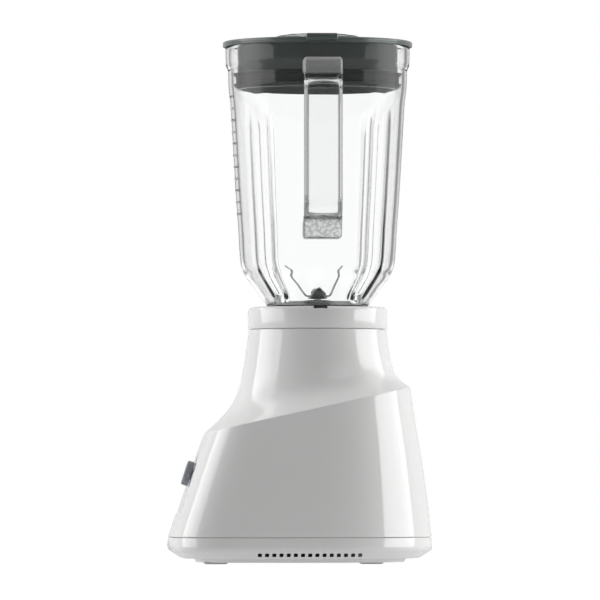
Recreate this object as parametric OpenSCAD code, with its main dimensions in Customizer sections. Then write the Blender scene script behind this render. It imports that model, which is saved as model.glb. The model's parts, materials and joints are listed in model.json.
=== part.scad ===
// Countertop blender: tapered white motor base, clear jug with a handle and four flutes,
// dark lid with a clear measuring cup.
// Frame: +Z up, Z = 0 on the table, the front (control knob) towards -Y, the handle towards +X.
// The origin is the middle of the base's footprint; the motor and jug axis lies axis_y behind it.

/* [Base housing] */
// Width of the base at the seam, side to side
base_w = 199; // [190:1:208]
// Depth of the base at the seam, front to back
base_d = 197.4; // [190:0.1:206]
// Height of the seam between the housing and the bottom cover
seam_z = 20; // [18:0.5:23]
// Height of the neck's top, where the jug sits
neck_z = 175.2; // [174:0.2:184]
// Outer radius of the neck at its top
neck_r = 51.7; // [51:0.1:54]
// Distance of the motor axis behind the middle of the base
axis_y = 13.2; // [10:0.1:16]
// Height of the crease at the front of the base
crease_front_z = 98; // [94:0.5:102]
// Rise of the crease for each mm towards the back
crease_rise = 0.221; // [0.16:0.001:0.25]
// Lean of the front face, mm inwards for each mm up
front_lean = 0.36; // [0.33:0.01:0.38]
// Lean of the back face, mm inwards for each mm up
back_lean = 0.145; // [0.12:0.005:0.17]
// Lean of the side faces, mm inwards for each mm up
side_lean = 0.155; // [0.13:0.005:0.18]
// Crown of the four faces at half height
face_crown = 0.8; // [0.4:0.1:1.5]
// Squareness of the plan outline's front half: 2 is an ellipse, larger is squarer
front_squareness = 5; // [4:0.1:5.5]
// Squareness of the plan outline's rear half, whose corners are rounder
rear_squareness = 2.5; // [2.3:0.1:4.2]
// Wall of the housing
wall = 2.6; // [2.2:0.1:3]
// Share of the height from crease to neck top at which the neck turns into the shoulder, at the front
knee_front_share = 0.68; // [0.6:0.01:0.76]
// The same share at the rear
knee_rear_share = 0.78; // [0.7:0.01:0.84]
// Outward lean of the neck below its top, as a slope
neck_lean = 0.125; // [0.08:0.005:0.16]

/* [Control panel] */
// Tilt of the flat control panel from the vertical, in degrees
panel_tilt = 18; // [16.5:0.5:19]
// Depth of the flat panel under the crowned front face, at its lower lip
panel_recess = 1.9; // [1.2:0.1:2.2]
// Height of the lip below the panel
lip_z = 38; // [34:0.5:42]
// Height of the knob's axis on the panel
knob_z = 66.6; // [62:0.2:70]
// Radius of the knob
knob_r = 9.4; // [8.5:0.1:11]
// Height of the knob off the dial plate
knob_h = 5.6; // [5:0.1:8]
// Radius of the dial plate round the knob
dial_r = 16.5; // [14:0.5:20]
// Thickness of the dial plate
dial_t = 0.8; // [0.6:0.1:1.2]
// Radius of the knob's shaft
knob_shaft_r = 3; // [2.5:0.1:3.5]

/* [Bottom cover and feet] */
// Height of the cover's underside over the table
cover_z = 4; // [3.6:0.1:5]
// Height of the chamfer's upper edge
chamfer_z = 10.2; // [9.6:0.1:11]
// Inset of the chamfer's lower edge
chamfer_in = 7.4; // [6:0.1:8.5]
// Drop of the plinth under the cover
plinth_drop = 2.8; // [2.2:0.1:3]
// Inset of the plinth from the cover's outline
plinth_in = 19; // [16:0.5:22]
// Radius of a rubber foot
foot_r = 9; // [7:0.5:10]
// Distance of the front feet's middles from the sides of the base
foot_side_in = 39.5; // [36:0.5:43]
// Distance of the rear feet's middles from the sides of the base, whose rear corners are rounder
foot_rear_side_in = 47.5; // [45:0.5:52]
// Distance of the front feet's middles from the front of the base
foot_front_in = 33.7; // [31:0.1:40]
// Distance of the rear feet's middles from the back of the base
foot_rear_in = 47.7; // [45:0.1:54]
// Width of one vent slot
vent_w = 3; // [2:0.1:3.6]
// Height of one vent slot
vent_h = 2.6; // [2:0.1:2.8]
// Length of the row of vent slots, as a share of the base's depth
vent_row_share = 0.3759; // [0.34:0.001:0.38]
// Number of vent slots on each side
vent_count = 15; // [9:1:17]
// Radius of the mains cord's bore in the gland
cord_r = 3.5; // [3:0.1:4]
// Height of the cord gland
gland_z = 36; // [33:0.5:44]

/* [Motor] */
// Radius of the motor shaft
shaft_r = 4; // [3.5:0.1:4.5]
// Lower edge of the stator's iron core
core_z = 82; // [80:0.5:84]
// Height of the stator's iron core
core_h = 34; // [30:0.5:36]
// Outer radius of the stator's iron core
stator_r = 44; // [43:0.5:46]
// Outer radius of the armature
armature_r = 20; // [18:0.1:20.2]
// Radius of the cooling fan
fan_r = 36; // [32:0.5:38]
// Number of fan blades
fan_blades = 12; // [9:1:15]
// Outer radius of the ball bearings
bearing_r = 11; // [10:0.5:12]
// Height of the ball bearings
bearing_h = 7; // [6:0.5:8]

/* [Drive coupling and jug seat] */
// Depth of the well in the neck's top
well_depth = 11.2; // [11:0.1:13]
// Radius of the well
well_r = 47.2; // [46.8:0.1:47.4]
// Outer radius of the drive coupling
coupling_r = 20; // [18:0.5:22]
// Radius of the coupling's hexagon over its corners
hex_r = 11; // [9:0.1:12]
// Height of the jug's collar over the neck
collar_h = 16.8; // [14:0.2:17]

/* [Jug] */
// Height of the jug's rim over the table
rim_z = 388; // [380:1:396]
// Outer radius of the jug at its rim
rim_r = 69.2; // [68.6:0.1:70.4]
// Outer radius of the jug at the waist over the bottom cone
waist_r = 58.1; // [57:0.1:59]
// Wall of the jug
jug_wall = 3.4; // [3:0.1:3.6]
// Depth of the four flutes
flute_depth = 5.5; // [4:0.1:6.5]
// Half width of a flute, in degrees round the axis
flute_half = 11; // [9:1:14]
// Reach of the pouring spout beyond the rim
spout_reach = 7; // [5:0.5:9]
// Reach of the handle from the jug's axis
handle_reach = 99.5; // [96:0.5:104]
// Width of the handle at its top
handle_w = 28.5; // [24:0.5:32]
// Thickness of the handle's grip
handle_t = 11.5; // [10:0.5:13]
// Height of the handle's upper edge under the rim
handle_top_drop = 13; // [11:0.5:15]
// Height of the handle from its lower to its upper edge
handle_h = 134; // [128:1:138]

/* [Blades] */
// Radius that the blade tips sweep
blade_tip_r = 25; // [22:0.5:26]
// Width of a blade at its root
blade_w = 12; // [9:0.5:13]
// Thickness of the blade sheet
blade_t = 1.3; // [1:0.1:1.6]
// Radius of the blade shaft
blade_shaft_r = 3; // [2.6:0.1:3.4]

/* [Lid and measuring cup] */
// Outer radius of the lid's rim
lid_r = 71.3; // [70.9:0.1:73]
// Height of the lid's rim
lid_rim_h = 3.6; // [3:0.1:4.5]
// Outer radius of the lid's skirt
skirt_r = 60.2; // [58:0.1:60.6]
// Depth of the lid's skirt under the jug's rim
skirt_depth = 32.5; // [29:0.5:35]
// Wall of the lid
lid_wall = 2.4; // [2:0.1:2.8]
// Outer radius of the measuring cup's flange
cup_flange_r = 31.2; // [30:0.1:33]
// Outer radius of the measuring cup's body
cup_r = 26.4; // [24:0.1:27]
// Depth of the measuring cup under its flange
cup_depth = 30; // [26:0.5:40]
// Height of the measuring cup's flange
cup_flange_h = 4.6; // [4:0.1:6]
// Width of the lid's thumb tab
tab_w = 24; // [18:1:28]

/* [Clearances] */
// Gap round parts that slide or seat on each other
seat_gap = 0.3; // [0.2:0.05:0.5]
// Radial clearance of a shaft in its bearing
run_gap = 0.04; // [0.02:0.01:0.08]
// Radial clearance of a screw in a clearance hole
screw_gap = 0.3; // [0.2:0.05:0.5]
// Reach of one solid into the wall that it grows out of
bury = 1; // [0.6:0.1:1.4]

/* [Hidden] */
$fn = 96;
ring_n = 64;

white = [0.90, 0.90, 0.89];
dark_grey = [0.34, 0.37, 0.36];
black = [0.10, 0.10, 0.11];
steel = [0.72, 0.73, 0.75];
iron = [0.42, 0.43, 0.45];
copper = [0.72, 0.42, 0.22];
carbon = [0.16, 0.16, 0.17];
clear = [0.86, 0.92, 0.93, 0.4];

// ---------- Heights and radii that follow from the sizes above ----------
deck_t = 3;
deck_z = neck_z - well_depth;
deck_under_z = deck_z - deck_t;
collar_top_z = neck_z + collar_h;
plinth_z = cover_z - plinth_drop;
front_y = -base_d / 2;
back_y = base_d / 2;
crown_span = 90;

// ---------- Outline of the base ----------
function clamp(v, low, high) = min(max(v, low), high);
function smooth(v) = let (s = clamp(v, 0, 1)) s * s * (3 - 2 * s);
function crown(z) = face_crown * sin(180 * clamp((z - seam_z) / crown_span, 0, 1));
function rise(z) = max(z - seam_z, 0);
function front_face(z) = front_y + front_lean * rise(z) - crown(z);
function back_face(z) = back_y - back_lean * rise(z) + crown(z);
function side_face(z) = base_w / 2 - side_lean * rise(z) + crown(z);

// The flat panel's plane, and below lip_z the slope of the lip that leads back out to the front face
lip_y = front_face(lip_z) + panel_recess;
lip_slope = 0.65;
function panel_y(z) = z > lip_z ? lip_y + tan(panel_tilt) * (z - lip_z) : lip_y - lip_slope * (lip_z - z);

// Radius at angle t of a superellipse with half axes a and b
function square_r(t, a, b) =
    let (power = sin(t) > 0 ? rear_squareness : front_squareness)
    pow(pow(abs(cos(t)) / a, power) + pow(abs(sin(t)) / b, power), -1 / power);

// Point at angle t of the base's outline at height z, moved inwards by inset
function base_point(t, z, inset) =
    let (a = side_face(z) - inset,
         b = (back_face(z) - front_face(z)) / 2 - inset,
         middle = (back_face(z) + front_face(z)) / 2,
         r = square_r(t, a, b))
    [r * cos(t), max(middle + r * sin(t), panel_y(z) + inset), z];

// The crease is where the outline meets a sloping plane
function crease_z(y) = crease_front_z + crease_rise * (y - front_face(crease_front_z));
function crease_point(t, inset, z, steps) =
    let (p = base_point(t, z, inset))
    steps == 0 ? p : crease_point(t, inset, crease_z(p[1]) - inset, steps - 1);
function crease_at(t, inset) = crease_point(t, inset, crease_front_z, 8);

// Shoulder: a Bezier curve from the crease to the neck's edge, end_z high and end_r from the axis
function bezier(p0, p1, p2, p3, s) =
    pow(1 - s, 3) * p0 + 3 * pow(1 - s, 2) * s * p1 + 3 * (1 - s) * s * s * p2 + s * s * s * p3;
// The neck leans out down to the knee, from which the shoulder runs straight to the crease
function knee_at(t, inset) =
    let (share = (knee_rear_share + knee_front_share) / 2 + sin(t) * (knee_rear_share - knee_front_share) / 2,
         drop = share * (neck_z - crease_at(t, 0)[2]),
         r = neck_r + neck_lean * drop - inset)
    [r * cos(t), axis_y + r * sin(t), neck_z - drop - 0.6 * inset];
function shoulder_point(t, inset, end_r, end_z, s) =
    let (p0 = crease_at(t, inset),
         p3 = [end_r * cos(t), axis_y + end_r * sin(t), end_z],
         knee = knee_at(t, inset))
    bezier(p0, p0 + 0.91 * (knee - p0), p3 + 1.05 * (knee - p3), p3, s);

// ---------- Lofted solids ----------
// A solid through rings of points: capped at its first and last ring, or closed into a loop
module skin(rings, loop = false) {
    count = len(rings[0]);
    rows = len(rings);
    sides = [for (i = [0 : rows - (loop ? 1 : 2)], j = [0 : count - 1], half = [0, 1])
        let (k = (j + 1) % count, up = (i + 1) % rows)
        half == 0
            ? [i * count + j, up * count + j, up * count + k]
            : [i * count + j, up * count + k, i * count + k]];
    caps = loop ? [] : [
        [for (j = [0 : count - 1]) j],
        [for (j = [count - 1 : -1 : 0]) (rows - 1) * count + j]];
    polyhedron(points = [for (r = rings, p = r) p], faces = concat(caps, sides), convexity = 8);
}
function turn(j) = 360 * j / ring_n;
function base_ring(z, inset) = [for (j = [0 : ring_n - 1]) base_point(turn(j), z, inset)];
function lower_ring(share, inset) = [for (j = [0 : ring_n - 1])
    let (top = crease_at(turn(j), inset)[2])
    base_point(turn(j), seam_z + share * (top - seam_z), inset)];
function shoulder_ring(share, inset, end_r, end_z) =
    [for (j = [0 : ring_n - 1]) shoulder_point(turn(j), inset, end_r, end_z, share)];
function round_ring(r, z) = [for (j = [0 : ring_n - 1]) [r * cos(turn(j)), axis_y + r * sin(turn(j)), z]];

module on_axis() translate([0, axis_y, 0]) children();
module tube(outer, inner, z0, z1) translate([0, 0, z0]) difference() {
    cylinder(r = outer, h = z1 - z0);
    translate([0, 0, -1]) cylinder(r = inner, h = z1 - z0 + 2);
}
module disc(r, z0, z1) translate([0, 0, z0]) cylinder(r = r, h = z1 - z0);
module turned(points) rotate_extrude() polygon(points);
module around(count, radius, first = 0)
    for (i = [0 : count - 1]) rotate([0, 0, first + 360 * i / count]) translate([radius, 0, 0]) children();
module block(low, high) translate(low) cube(high - low);

// ---------- Motor housing ----------
lower_rows = [0, 0.06, 0.13, 0.23, 0.38, 0.55, 0.72, 0.86];
shoulder_rows = [0, 0.12, 0.23, 0.33, 0.42, 0.51, 0.61, 0.72, 0.85, 1];
inner_rows = [0, 0.12, 0.26, 0.42, 0.6, 0.8, 1];
boss_angles = [35, 145, 215, 325];
boss_inset = 24;
boss_r = 4.8;
boss_top_z = seam_z + 50;
rib_t = 2.4;
rib_h = 24;
screw_r = 1.7;
pilot_r = 1.4;
pilot_depth = 14;
splash_r = 13.5;
splash_h = 4;
hub_r = 8;
post_pitch_r = 42;
post_r = 4.6;
post_bottom_z = deck_under_z - 19;
key_count = 4;
key_w = 6;
key_out = 1.6;

// Frame whose +Z stands out of the control panel at the knob's axis, and +Y runs up the panel
module on_panel() translate([0, panel_y(knob_z), knob_z]) rotate([90 - panel_tilt, 0, 0]) children();
// Frame whose +Z stands out of the back face at the cord gland
gland_tilt = atan(back_lean);
module on_back() translate([0, back_face(gland_z), gland_z]) rotate([-90 + gland_tilt, 0, 0]) children();
gland_r = cord_r + 2.6;

module motor_housing() {
    color(white) difference() {
        union() {
            skin(concat(
                [for (s = lower_rows) lower_ring(s, 0)],
                [for (s = shoulder_rows) shoulder_ring(s, 0, neck_r, neck_z)],
                [round_ring(neck_r - wall, neck_z)],
                [for (i = [len(inner_rows) - 1 : -1 : 0])
                    shoulder_ring(inner_rows[i], wall, neck_r - wall, deck_z)],
                [for (i = [len(lower_rows) - 1 : -1 : 0]) lower_ring(lower_rows[i], wall)]), loop = true);
            on_axis() turned([
                [splash_r - 2.5, deck_under_z], [neck_r - wall + bury, deck_under_z],
                [neck_r - wall + bury, neck_z], [well_r, neck_z], [well_r, deck_z],
                [splash_r, deck_z], [splash_r, deck_z + splash_h], [splash_r - 2.5, deck_z + splash_h]]);
            on_axis() around(4, post_pitch_r) disc(post_r, post_bottom_z, deck_under_z + bury);
            cover_bosses();
            on_back() translate([0, 0, -wall - gland_sink])
                cylinder(r = gland_flange_r + wall, h = gland_sink + bury);
        }
        on_axis() around(4, post_pitch_r) disc(pilot_r, post_bottom_z - 1, post_bottom_z + pilot_depth);
        on_axis() around(key_count, well_r, 45)
            block([-1, -key_w / 2 - seat_gap, deck_z + 1],
                [key_out + seat_gap, key_w / 2 + seat_gap, neck_z + 1]);
        boss_places() disc(pilot_r, seam_z - 1, seam_z + pilot_depth);
        on_panel() translate([0, 0, -2 * wall]) cylinder(r = bushing_r + seat_gap, h = 4 * wall);
        on_panel() translate([0, 0, -dial_t]) cylinder(r = dial_r + plate_gap, h = 2 * wall);
        on_back() translate([0, 0, -3 * wall]) cylinder(r = gland_r + 0.1, h = 6 * wall);
        on_back() translate([0, 0, -gland_sink]) cylinder(r = gland_flange_r + plate_gap, h = 2 * wall);
        on_axis() rotate([0, 0, plunger_angle]) translate([plunger_pitch_r, 0, 0])
            disc(plunger_r + seat_gap, deck_under_z - 1, deck_z + 1);
    }
}
function boss_at(t) = base_point(t, seam_z, boss_inset);
module boss_places() for (t = boss_angles) translate([boss_at(t)[0], boss_at(t)[1], 0]) children();
// Each boss is tied to the wall by a rib, which ends inside the wall at the boss's top
module cover_bosses() {
    boss_places() disc(boss_r, seam_z, boss_top_z);
    for (t = boss_angles) {
        run = base_point(t, boss_top_z, wall / 2) - boss_at(t);
        translate([boss_at(t)[0], boss_at(t)[1], 0]) rotate([0, 0, atan2(run[1], run[0])])
            block([0, -rib_t / 2, boss_top_z - rib_h], [norm([run[0], run[1]]), rib_t / 2, boss_top_z]);
    }
}

// ---------- Bottom cover, feet and their screws ----------
tongue_h = 3;
cover_t = 2.4;
recess_r = 3.6;
tongue_t = 1.8;
// Outer and inner outline of the cover, from the plinth up and back down: height and inset
cover_rows = [[plinth_z, plinth_in + 1.6], [cover_z, plinth_in], [cover_z, chamfer_in + 3],
    [cover_z + 1.2, chamfer_in], [chamfer_z, 0.2], [chamfer_z + 2.4, -0.4], [seam_z - seat_gap, 0.1],
    [seam_z - seat_gap, wall + seat_gap], [seam_z + tongue_h, wall + seat_gap],
    [seam_z + tongue_h, wall + seat_gap + tongue_t], [chamfer_z, cover_t + 1.6],
    [cover_z + cover_t, chamfer_in + cover_t + 1.5], [cover_z + cover_t, plinth_in + cover_t + 0.6],
    [plinth_z + cover_t, plinth_in + cover_t + 2.4]];
intake_slots = 20;
intake_w = 2.6;

module bottom_cover() {
    color(white) difference() {
        union() {
            skin([for (row = cover_rows) base_ring(row[0], row[1])]);
            boss_places() disc(boss_r, plinth_z + 1, seam_z);
            on_axis() tube(shroud_r + shroud_t, shroud_r, plinth_z + 1, shroud_z);
        }
        boss_places() {
            disc(screw_r + screw_gap, plinth_z - 1, seam_z + 1);
            disc(recess_r, plinth_z - 1, cover_z + 4);
        }
        foot_places() disc(foot_stem_r, plinth_z - 1, plinth_z + 2 * cover_t);
        for (side = [-1, 1], i = [0 : vent_count - 1])
            translate([side * base_w / 2, (i - (vent_count - 1) / 2) * vent_pitch + vent_shift_y, vent_z])
                cube([2 * (chamfer_in + vent_reach), vent_w, vent_h], center = true);
        on_axis() around(intake_slots, fan_r * 0.42)
            block([0, -intake_w / 2, plinth_z - 1], [fan_r * 0.5, intake_w / 2, plinth_z + 2 * cover_t]);
    }
}
// How far past the chamfer the vent slots are cut, so that they open where the rear corners turn in
vent_reach = 8;
vent_z = cover_z + 2.9;
vent_pitch = vent_row_share * base_d / (vent_count - 1);
vent_shift_y = 3.6;
foot_stem_r = 3.5;
function foot_x(y) = base_w / 2 - (y > 0 ? foot_rear_side_in : foot_side_in);
foot_front = base_d / 2 - foot_front_in;
foot_rear = base_d / 2 - foot_rear_in;
module foot_places() for (side = [-1, 1], y = [-foot_front, foot_rear])
    translate([side * foot_x(y), y, 0]) children();
module foot(side, y) color(black) translate([side * foot_x(y), y, 0]) turned([
    [0, 0], [foot_r - 1.4, 0], [foot_r, 1], [foot_r - 0.4, plinth_z], [foot_stem_r - 0.1, plinth_z],
    [foot_stem_r - 0.1, plinth_z + cover_t + 0.4], [foot_stem_r - 1, plinth_z + cover_t + 1.4],
    [0, plinth_z + cover_t + 1.4]]);
module screw(r, head_r, head_h, z0, length) {
    disc(head_r, z0, z0 + head_h);
    disc(r, z0 + head_h, z0 + head_h + length);
}
module cover_screws() color(steel) boss_places() difference() {
    screw(screw_r - 0.35, 3.1, 2, cover_z + 2, seam_z + pilot_depth - cover_z - 5);
    for (a = [0, 90]) rotate([0, 0, a]) block([-1.9, -0.4, cover_z + 1], [1.9, 0.4, cover_z + 3]);
}

// ---------- Controls ----------
bushing_r = 4.6;
switch_t = 15;
switch_w = 30;
nut_t = 2.2;
switch_gap = 0.2;
// Clearance round a plate or a flange that lies flush in the housing
plate_gap = 0.15;
module dial_plate() color([0.78, 0.80, 0.82]) on_panel() translate([0, 0, -dial_t]) difference() {
    cylinder(r = dial_r, h = dial_t);
    translate([0, 0, -1]) cylinder(r = bushing_r + seat_gap, h = dial_t + 2);
}
// The switch body sits behind the wall; its bushing passes through the panel and carries the knob's shaft
switch_z = -wall - nut_t - switch_gap;
terminal_h = 7;
module rotary_switch() color(black) on_panel() difference() {
    union() {
        block([-switch_w / 2, -switch_w / 2, switch_z - switch_t], [switch_w / 2, switch_w / 2, switch_z]);
        disc(bushing_r, switch_z - 1, 0);
        for (x = [-9, 0, 9])
            block([x - 1.2, -0.4, switch_z - switch_t - terminal_h], [x + 1.2, 0.4, switch_z - switch_t + 1]);
    }
    disc(knob_shaft_r + run_gap, switch_z - shaft_depth - 1, 1);
}
shaft_depth = 8;
module switch_nut() color(steel) on_panel() translate([0, 0, -wall - nut_t - switch_gap / 2]) difference() {
    cylinder(r = 7.6, h = nut_t, $fn = 6);
    translate([0, 0, -1]) cylinder(r = bushing_r + 0.05, h = nut_t + 2);
}
knob_lift = 0.35;
module control_knob() color(dark_grey) on_panel() {
    rotate_extrude() polygon([
        [0, knob_lift], [knob_r - 0.4, knob_lift], [knob_r, knob_lift + 0.6],
        [knob_r - 0.3, knob_h - 0.6], [knob_r - 1, knob_h], [0, knob_h]]);
    disc(knob_shaft_r, switch_z - shaft_depth, knob_lift + 1);
}

// ---------- Cord gland at the back ----------
gland_in = 11.4;
gland_sink = 2.4;
gland_flange_r = gland_r + 2;
module cord_gland() color(black) on_back() difference() {
    union() {
        translate([0, 0, -gland_in]) cylinder(r = gland_r, h = gland_in);
        translate([0, 0, 0.1 - gland_sink]) cylinder(r = gland_flange_r, h = gland_sink - 0.1);
        translate([0, 0, -gland_in]) cylinder(r = gland_r + 1.6, h = gland_in - wall - gland_sink - 0.8);
    }
    translate([0, 0, -gland_in - 1]) cylinder(r = cord_r, h = gland_in + 2);
}

// ---------- Interlock: the seated jug holds the plunger down on a small switch ----------
plunger_r = 2;
plunger_pitch_r = 44.6;
plunger_angle = 112;
plunger_travel = 2;
interlock_z = deck_under_z - 16;
spigot_bottom_z = deck_z + 3.5;
plunger_foot_z = deck_under_z - 6;
module at_plunger() on_axis() rotate([0, 0, plunger_angle]) translate([plunger_pitch_r, 0, 0]) children();
module interlock_plunger() color(dark_grey) at_plunger()
    disc(plunger_r, plunger_foot_z, spigot_bottom_z - seat_gap);
module interlock_switch() color(black) at_plunger() difference() {
    block([-9, -10, interlock_z], [3.4, 10, deck_under_z]);
    disc(plunger_r + seat_gap, plunger_foot_z - plunger_travel - seat_gap, deck_z);
}

// ---------- Suppression capacitor, glued to the cover's floor ----------
module suppression_capacitor() color([0.82, 0.70, 0.25])
    block([26, -62, plinth_z + cover_t], [50, -50, plinth_z + cover_t + 17]);

// ---------- Motor: stator, brackets, bearings ----------
core_top_z = core_z + core_h;
bore_gap = 0.6;
bore_r = armature_r + bore_gap;
shoe_t = 4;
yoke_t = 5.5;
pole_w = 22;
shoe_half = 58;
flat_y = stator_r - 8;
coil_out = 8;
coil_side = 7.6;
coil_gap = 0.3;
yoke_room = 7.2;
tie_r = 1.7;
tie_pitch_r = stator_r - yoke_t / 2;
tie_first = 40;
module tie_places() for (a = [tie_first, 180 - tie_first, 180 + tie_first, 360 - tie_first])
    rotate([0, 0, a]) translate([tie_pitch_r, 0, 0]) children();
module yoke_outline(r, y) intersection() {
    circle(r = r);
    square([2 * r, 2 * y], center = true);
}
module stator_core() color(iron) on_axis() translate([0, 0, core_z]) difference() {
    linear_extrude(core_h) difference() {
        union() {
            difference() {
                yoke_outline(stator_r, flat_y);
                yoke_outline(stator_r - yoke_t, flat_y - yoke_t);
            }
            intersection() {
                circle(r = bore_r + shoe_t);
                for (a = [0, 180]) rotate([0, 0, a]) polygon([
                    [0, 0], [stator_r * cos(shoe_half), -stator_r * sin(shoe_half)], [2 * stator_r, 0],
                    [stator_r * cos(shoe_half), stator_r * sin(shoe_half)]]);
            }
            for (side = [-1, 1]) translate([side * (bore_r + stator_r) / 2, 0])
                square([stator_r - bore_r - 2, pole_w], center = true);
        }
        circle(r = bore_r);
        tie_places() circle(r = tie_r + 0.1);
    }
}
module field_coil(side) color(copper) on_axis() difference() {
    x0 = bore_r + shoe_t + coil_gap;
    x1 = stator_r - yoke_t - coil_gap - yoke_room;
    half_y = pole_w / 2 + coil_gap;
    translate([side * (x0 + x1) / 2, 0, core_z + core_h / 2])
        cube([x1 - x0, 2 * (half_y + coil_side), core_h + 2 * coil_out], center = true);
    translate([side * (x0 + x1) / 2, 0, core_z + core_h / 2])
        cube([x1 - x0 + 2, 2 * half_y, core_h + 2 * coil_gap], center = true);
}
bracket_t = 3;
damper_h = 3;
upper_plate_z = post_bottom_z - damper_h - bracket_t;
cup_t = 2.5;
lower_plate_z = core_z - 28;
upper_bearing_z = upper_plate_z + bracket_t - bearing_h - 1;
lower_bearing_z = lower_plate_z - 4;
pillar_r = 4.2;
window_r = 10;
module upper_motor_bracket() color(steel) on_axis() difference() {
    union() {
        difference() {
            disc(stator_r + 3.5, upper_plate_z, upper_plate_z + bracket_t);
            around(4, stator_r - 14, 45)
                disc(window_r, upper_plate_z - 1, upper_plate_z + bracket_t + 1);
        }
        disc(bearing_r + cup_t, upper_bearing_z, upper_plate_z + bracket_t);
        tie_places() disc(pillar_r, core_top_z, upper_plate_z + 1);
    }
    disc(bearing_r, upper_bearing_z - 1, upper_bearing_z + bearing_h);
    disc(shaft_r + 1.5, upper_bearing_z, upper_plate_z + bracket_t + 1);
    tie_places() disc(tie_r + 0.1, core_top_z - 1, upper_plate_z + bracket_t + 1);
    around(4, post_pitch_r) disc(screw_r + screw_gap, upper_plate_z - 1, upper_plate_z + bracket_t + 1);
}
module lower_motor_bracket() color(steel) on_axis() difference() {
    union() {
        difference() {
            disc(stator_r + 2, lower_plate_z, lower_plate_z + bracket_t);
            around(4, stator_r - 17, 0)
                disc(window_r - 1, lower_plate_z - 1, lower_plate_z + bracket_t + 1);
        }
        disc(bearing_r + cup_t, lower_bearing_z, lower_plate_z + bracket_t + 2);
        tie_places() disc(pillar_r, lower_plate_z + 1, core_z);
    }
    disc(bearing_r, lower_bearing_z - 1, lower_bearing_z + bearing_h);
    disc(shaft_r + 1.5, lower_bearing_z, lower_plate_z + bracket_t + 3);
    tie_places() disc(tie_r + 0.1, lower_plate_z - 1, core_z + 1);
    for (side = [-1, 1], x = [-7, 7]) translate([x, side * holder_mid, 0])
        disc(1.2, lower_plate_z - 1, lower_plate_z + bracket_t + 1);
}
module bearing(z) color([0.8, 0.81, 0.83]) on_axis() difference() {
    disc(bearing_r, z, z + bearing_h);
    disc(shaft_r + run_gap, z - 1, z + bearing_h + 1);
    for (end = [z - 1, z + bearing_h - 0.5]) tube(bearing_r - 2, shaft_r + 2, end, end + 1.5);
}
module motor_tie_bolts() color(steel) on_axis() tie_places() {
    disc(tie_r, lower_plate_z - 2, upper_plate_z + bracket_t + 1);
    disc(3.2, lower_plate_z - 2, lower_plate_z);
    translate([0, 0, upper_plate_z + bracket_t]) cylinder(r = 3.2, h = 1.6, $fn = 6);
}
module motor_dampers() color(black) on_axis() around(4, post_pitch_r)
    tube(6, screw_r + screw_gap, upper_plate_z + bracket_t, post_bottom_z);
module motor_screws() color(steel) on_axis() around(4, post_pitch_r)
    screw(screw_r - 0.35, 3.6, 2.2, upper_plate_z - 2.2, bracket_t + damper_h + pilot_depth - 1);

// Brush gear: boxes on the lower bracket, each holding one carbon brush against the commutator
brush_z = core_z - 14;
brush_half = 3.2;
holder_t = 1.4;
holder_len = 20;
commutator_r = 11.5;
commutator_h = 13;
holder_r0 = commutator_r + 1.5;
holder_mid = holder_r0 + holder_len / 2;
module brush_holder(side) color([0.55, 0.42, 0.2]) on_axis() scale_y(side) difference() {
    outer = brush_half + holder_t;
    union() {
        block([-outer, holder_r0, brush_z - outer], [outer, holder_r0 + holder_len, brush_z + outer]);
        block([-9, holder_mid - 3.5, lower_plate_z + bracket_t],
            [9, holder_mid + 3.5, brush_z - outer + 0.5]);
    }
    block([-brush_half - 0.1, holder_r0 - 1, brush_z - brush_half - 0.1],
        [brush_half + 0.1, holder_r0 + holder_len - holder_t, brush_z + brush_half + 0.1]);
}
module scale_y(side) rotate([0, 0, side > 0 ? 0 : 180]) children();
module carbon_brushes() color(carbon) on_axis() for (side = [-1, 1]) scale_y(side) difference() {
    block([-brush_half, commutator_r - 2, brush_z - brush_half],
        [brush_half, holder_r0 + 12, brush_z + brush_half]);
    disc(commutator_r + run_gap, brush_z - 10, brush_z + 10);
}

// ---------- Rotor: shaft, armature, commutator, fan and drive coupling ----------
fan_z = lower_bearing_z - 19;
fan_h = 13;
fan_hub_r = 7.5;
fan_t = 1.7;
coupling_floor_z = deck_z + 7.5;
shaft_top_z = coupling_floor_z - 1;
coupling_top_z = coupling_floor_z + 7;
module armature_shaft() color(steel) on_axis() disc(shaft_r, fan_z - 1, shaft_top_z);
slot_count = 12;
module armature_core() color(iron) on_axis() translate([0, 0, core_z]) linear_extrude(core_h) difference() {
    circle(r = armature_r);
    circle(r = shaft_r);
    around(slot_count, armature_r - 4) {
        circle(r = 2.4);
        translate([0, -0.8]) square([5, 1.6]);
    }
}
module armature_windings() color(copper) on_axis() for (z = [core_z - 8.5, core_top_z + 0.1])
    tube(armature_r - 1.6, shaft_r + 1.4, z, z + 8.4);
module commutator() color(copper) on_axis() difference() {
    tube(commutator_r, shaft_r, brush_z - commutator_h / 2 + 1.5, brush_z + commutator_h / 2 - 1.5);
    around(slot_count, commutator_r)
        block([-1.2, -0.3, brush_z - commutator_h], [1, 0.3, brush_z + commutator_h]);
}
module cooling_fan() color([0.18, 0.18, 0.2]) on_axis() union() {
    tube(fan_hub_r, shaft_r, fan_z, fan_z + fan_h + 2);
    tube(fan_r, fan_hub_r - 0.5, fan_z + fan_h - fan_t, fan_z + fan_h);
    around(fan_blades, fan_hub_r - 0.5) rotate([0, 0, 14])
        block([0, -fan_t / 2, fan_z], [fan_r - fan_hub_r - 1.7, fan_t / 2, fan_z + fan_h - fan_t / 2]);
}
module drive_coupling() color(black) on_axis() difference() {
    union() {
        disc(coupling_r, deck_z + splash_h + 1, coupling_top_z);
        disc(hub_r, deck_under_z - 1, coupling_floor_z);
        tube(coupling_r, splash_r + 1.8, deck_z + 2, deck_z + splash_h + 2);
    }
    disc(shaft_r, deck_under_z - 2, shaft_top_z);
    translate([0, 0, coupling_floor_z]) cylinder(r = hex_r + seat_gap * 1.5, h = 20, $fn = 6);
}
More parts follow.
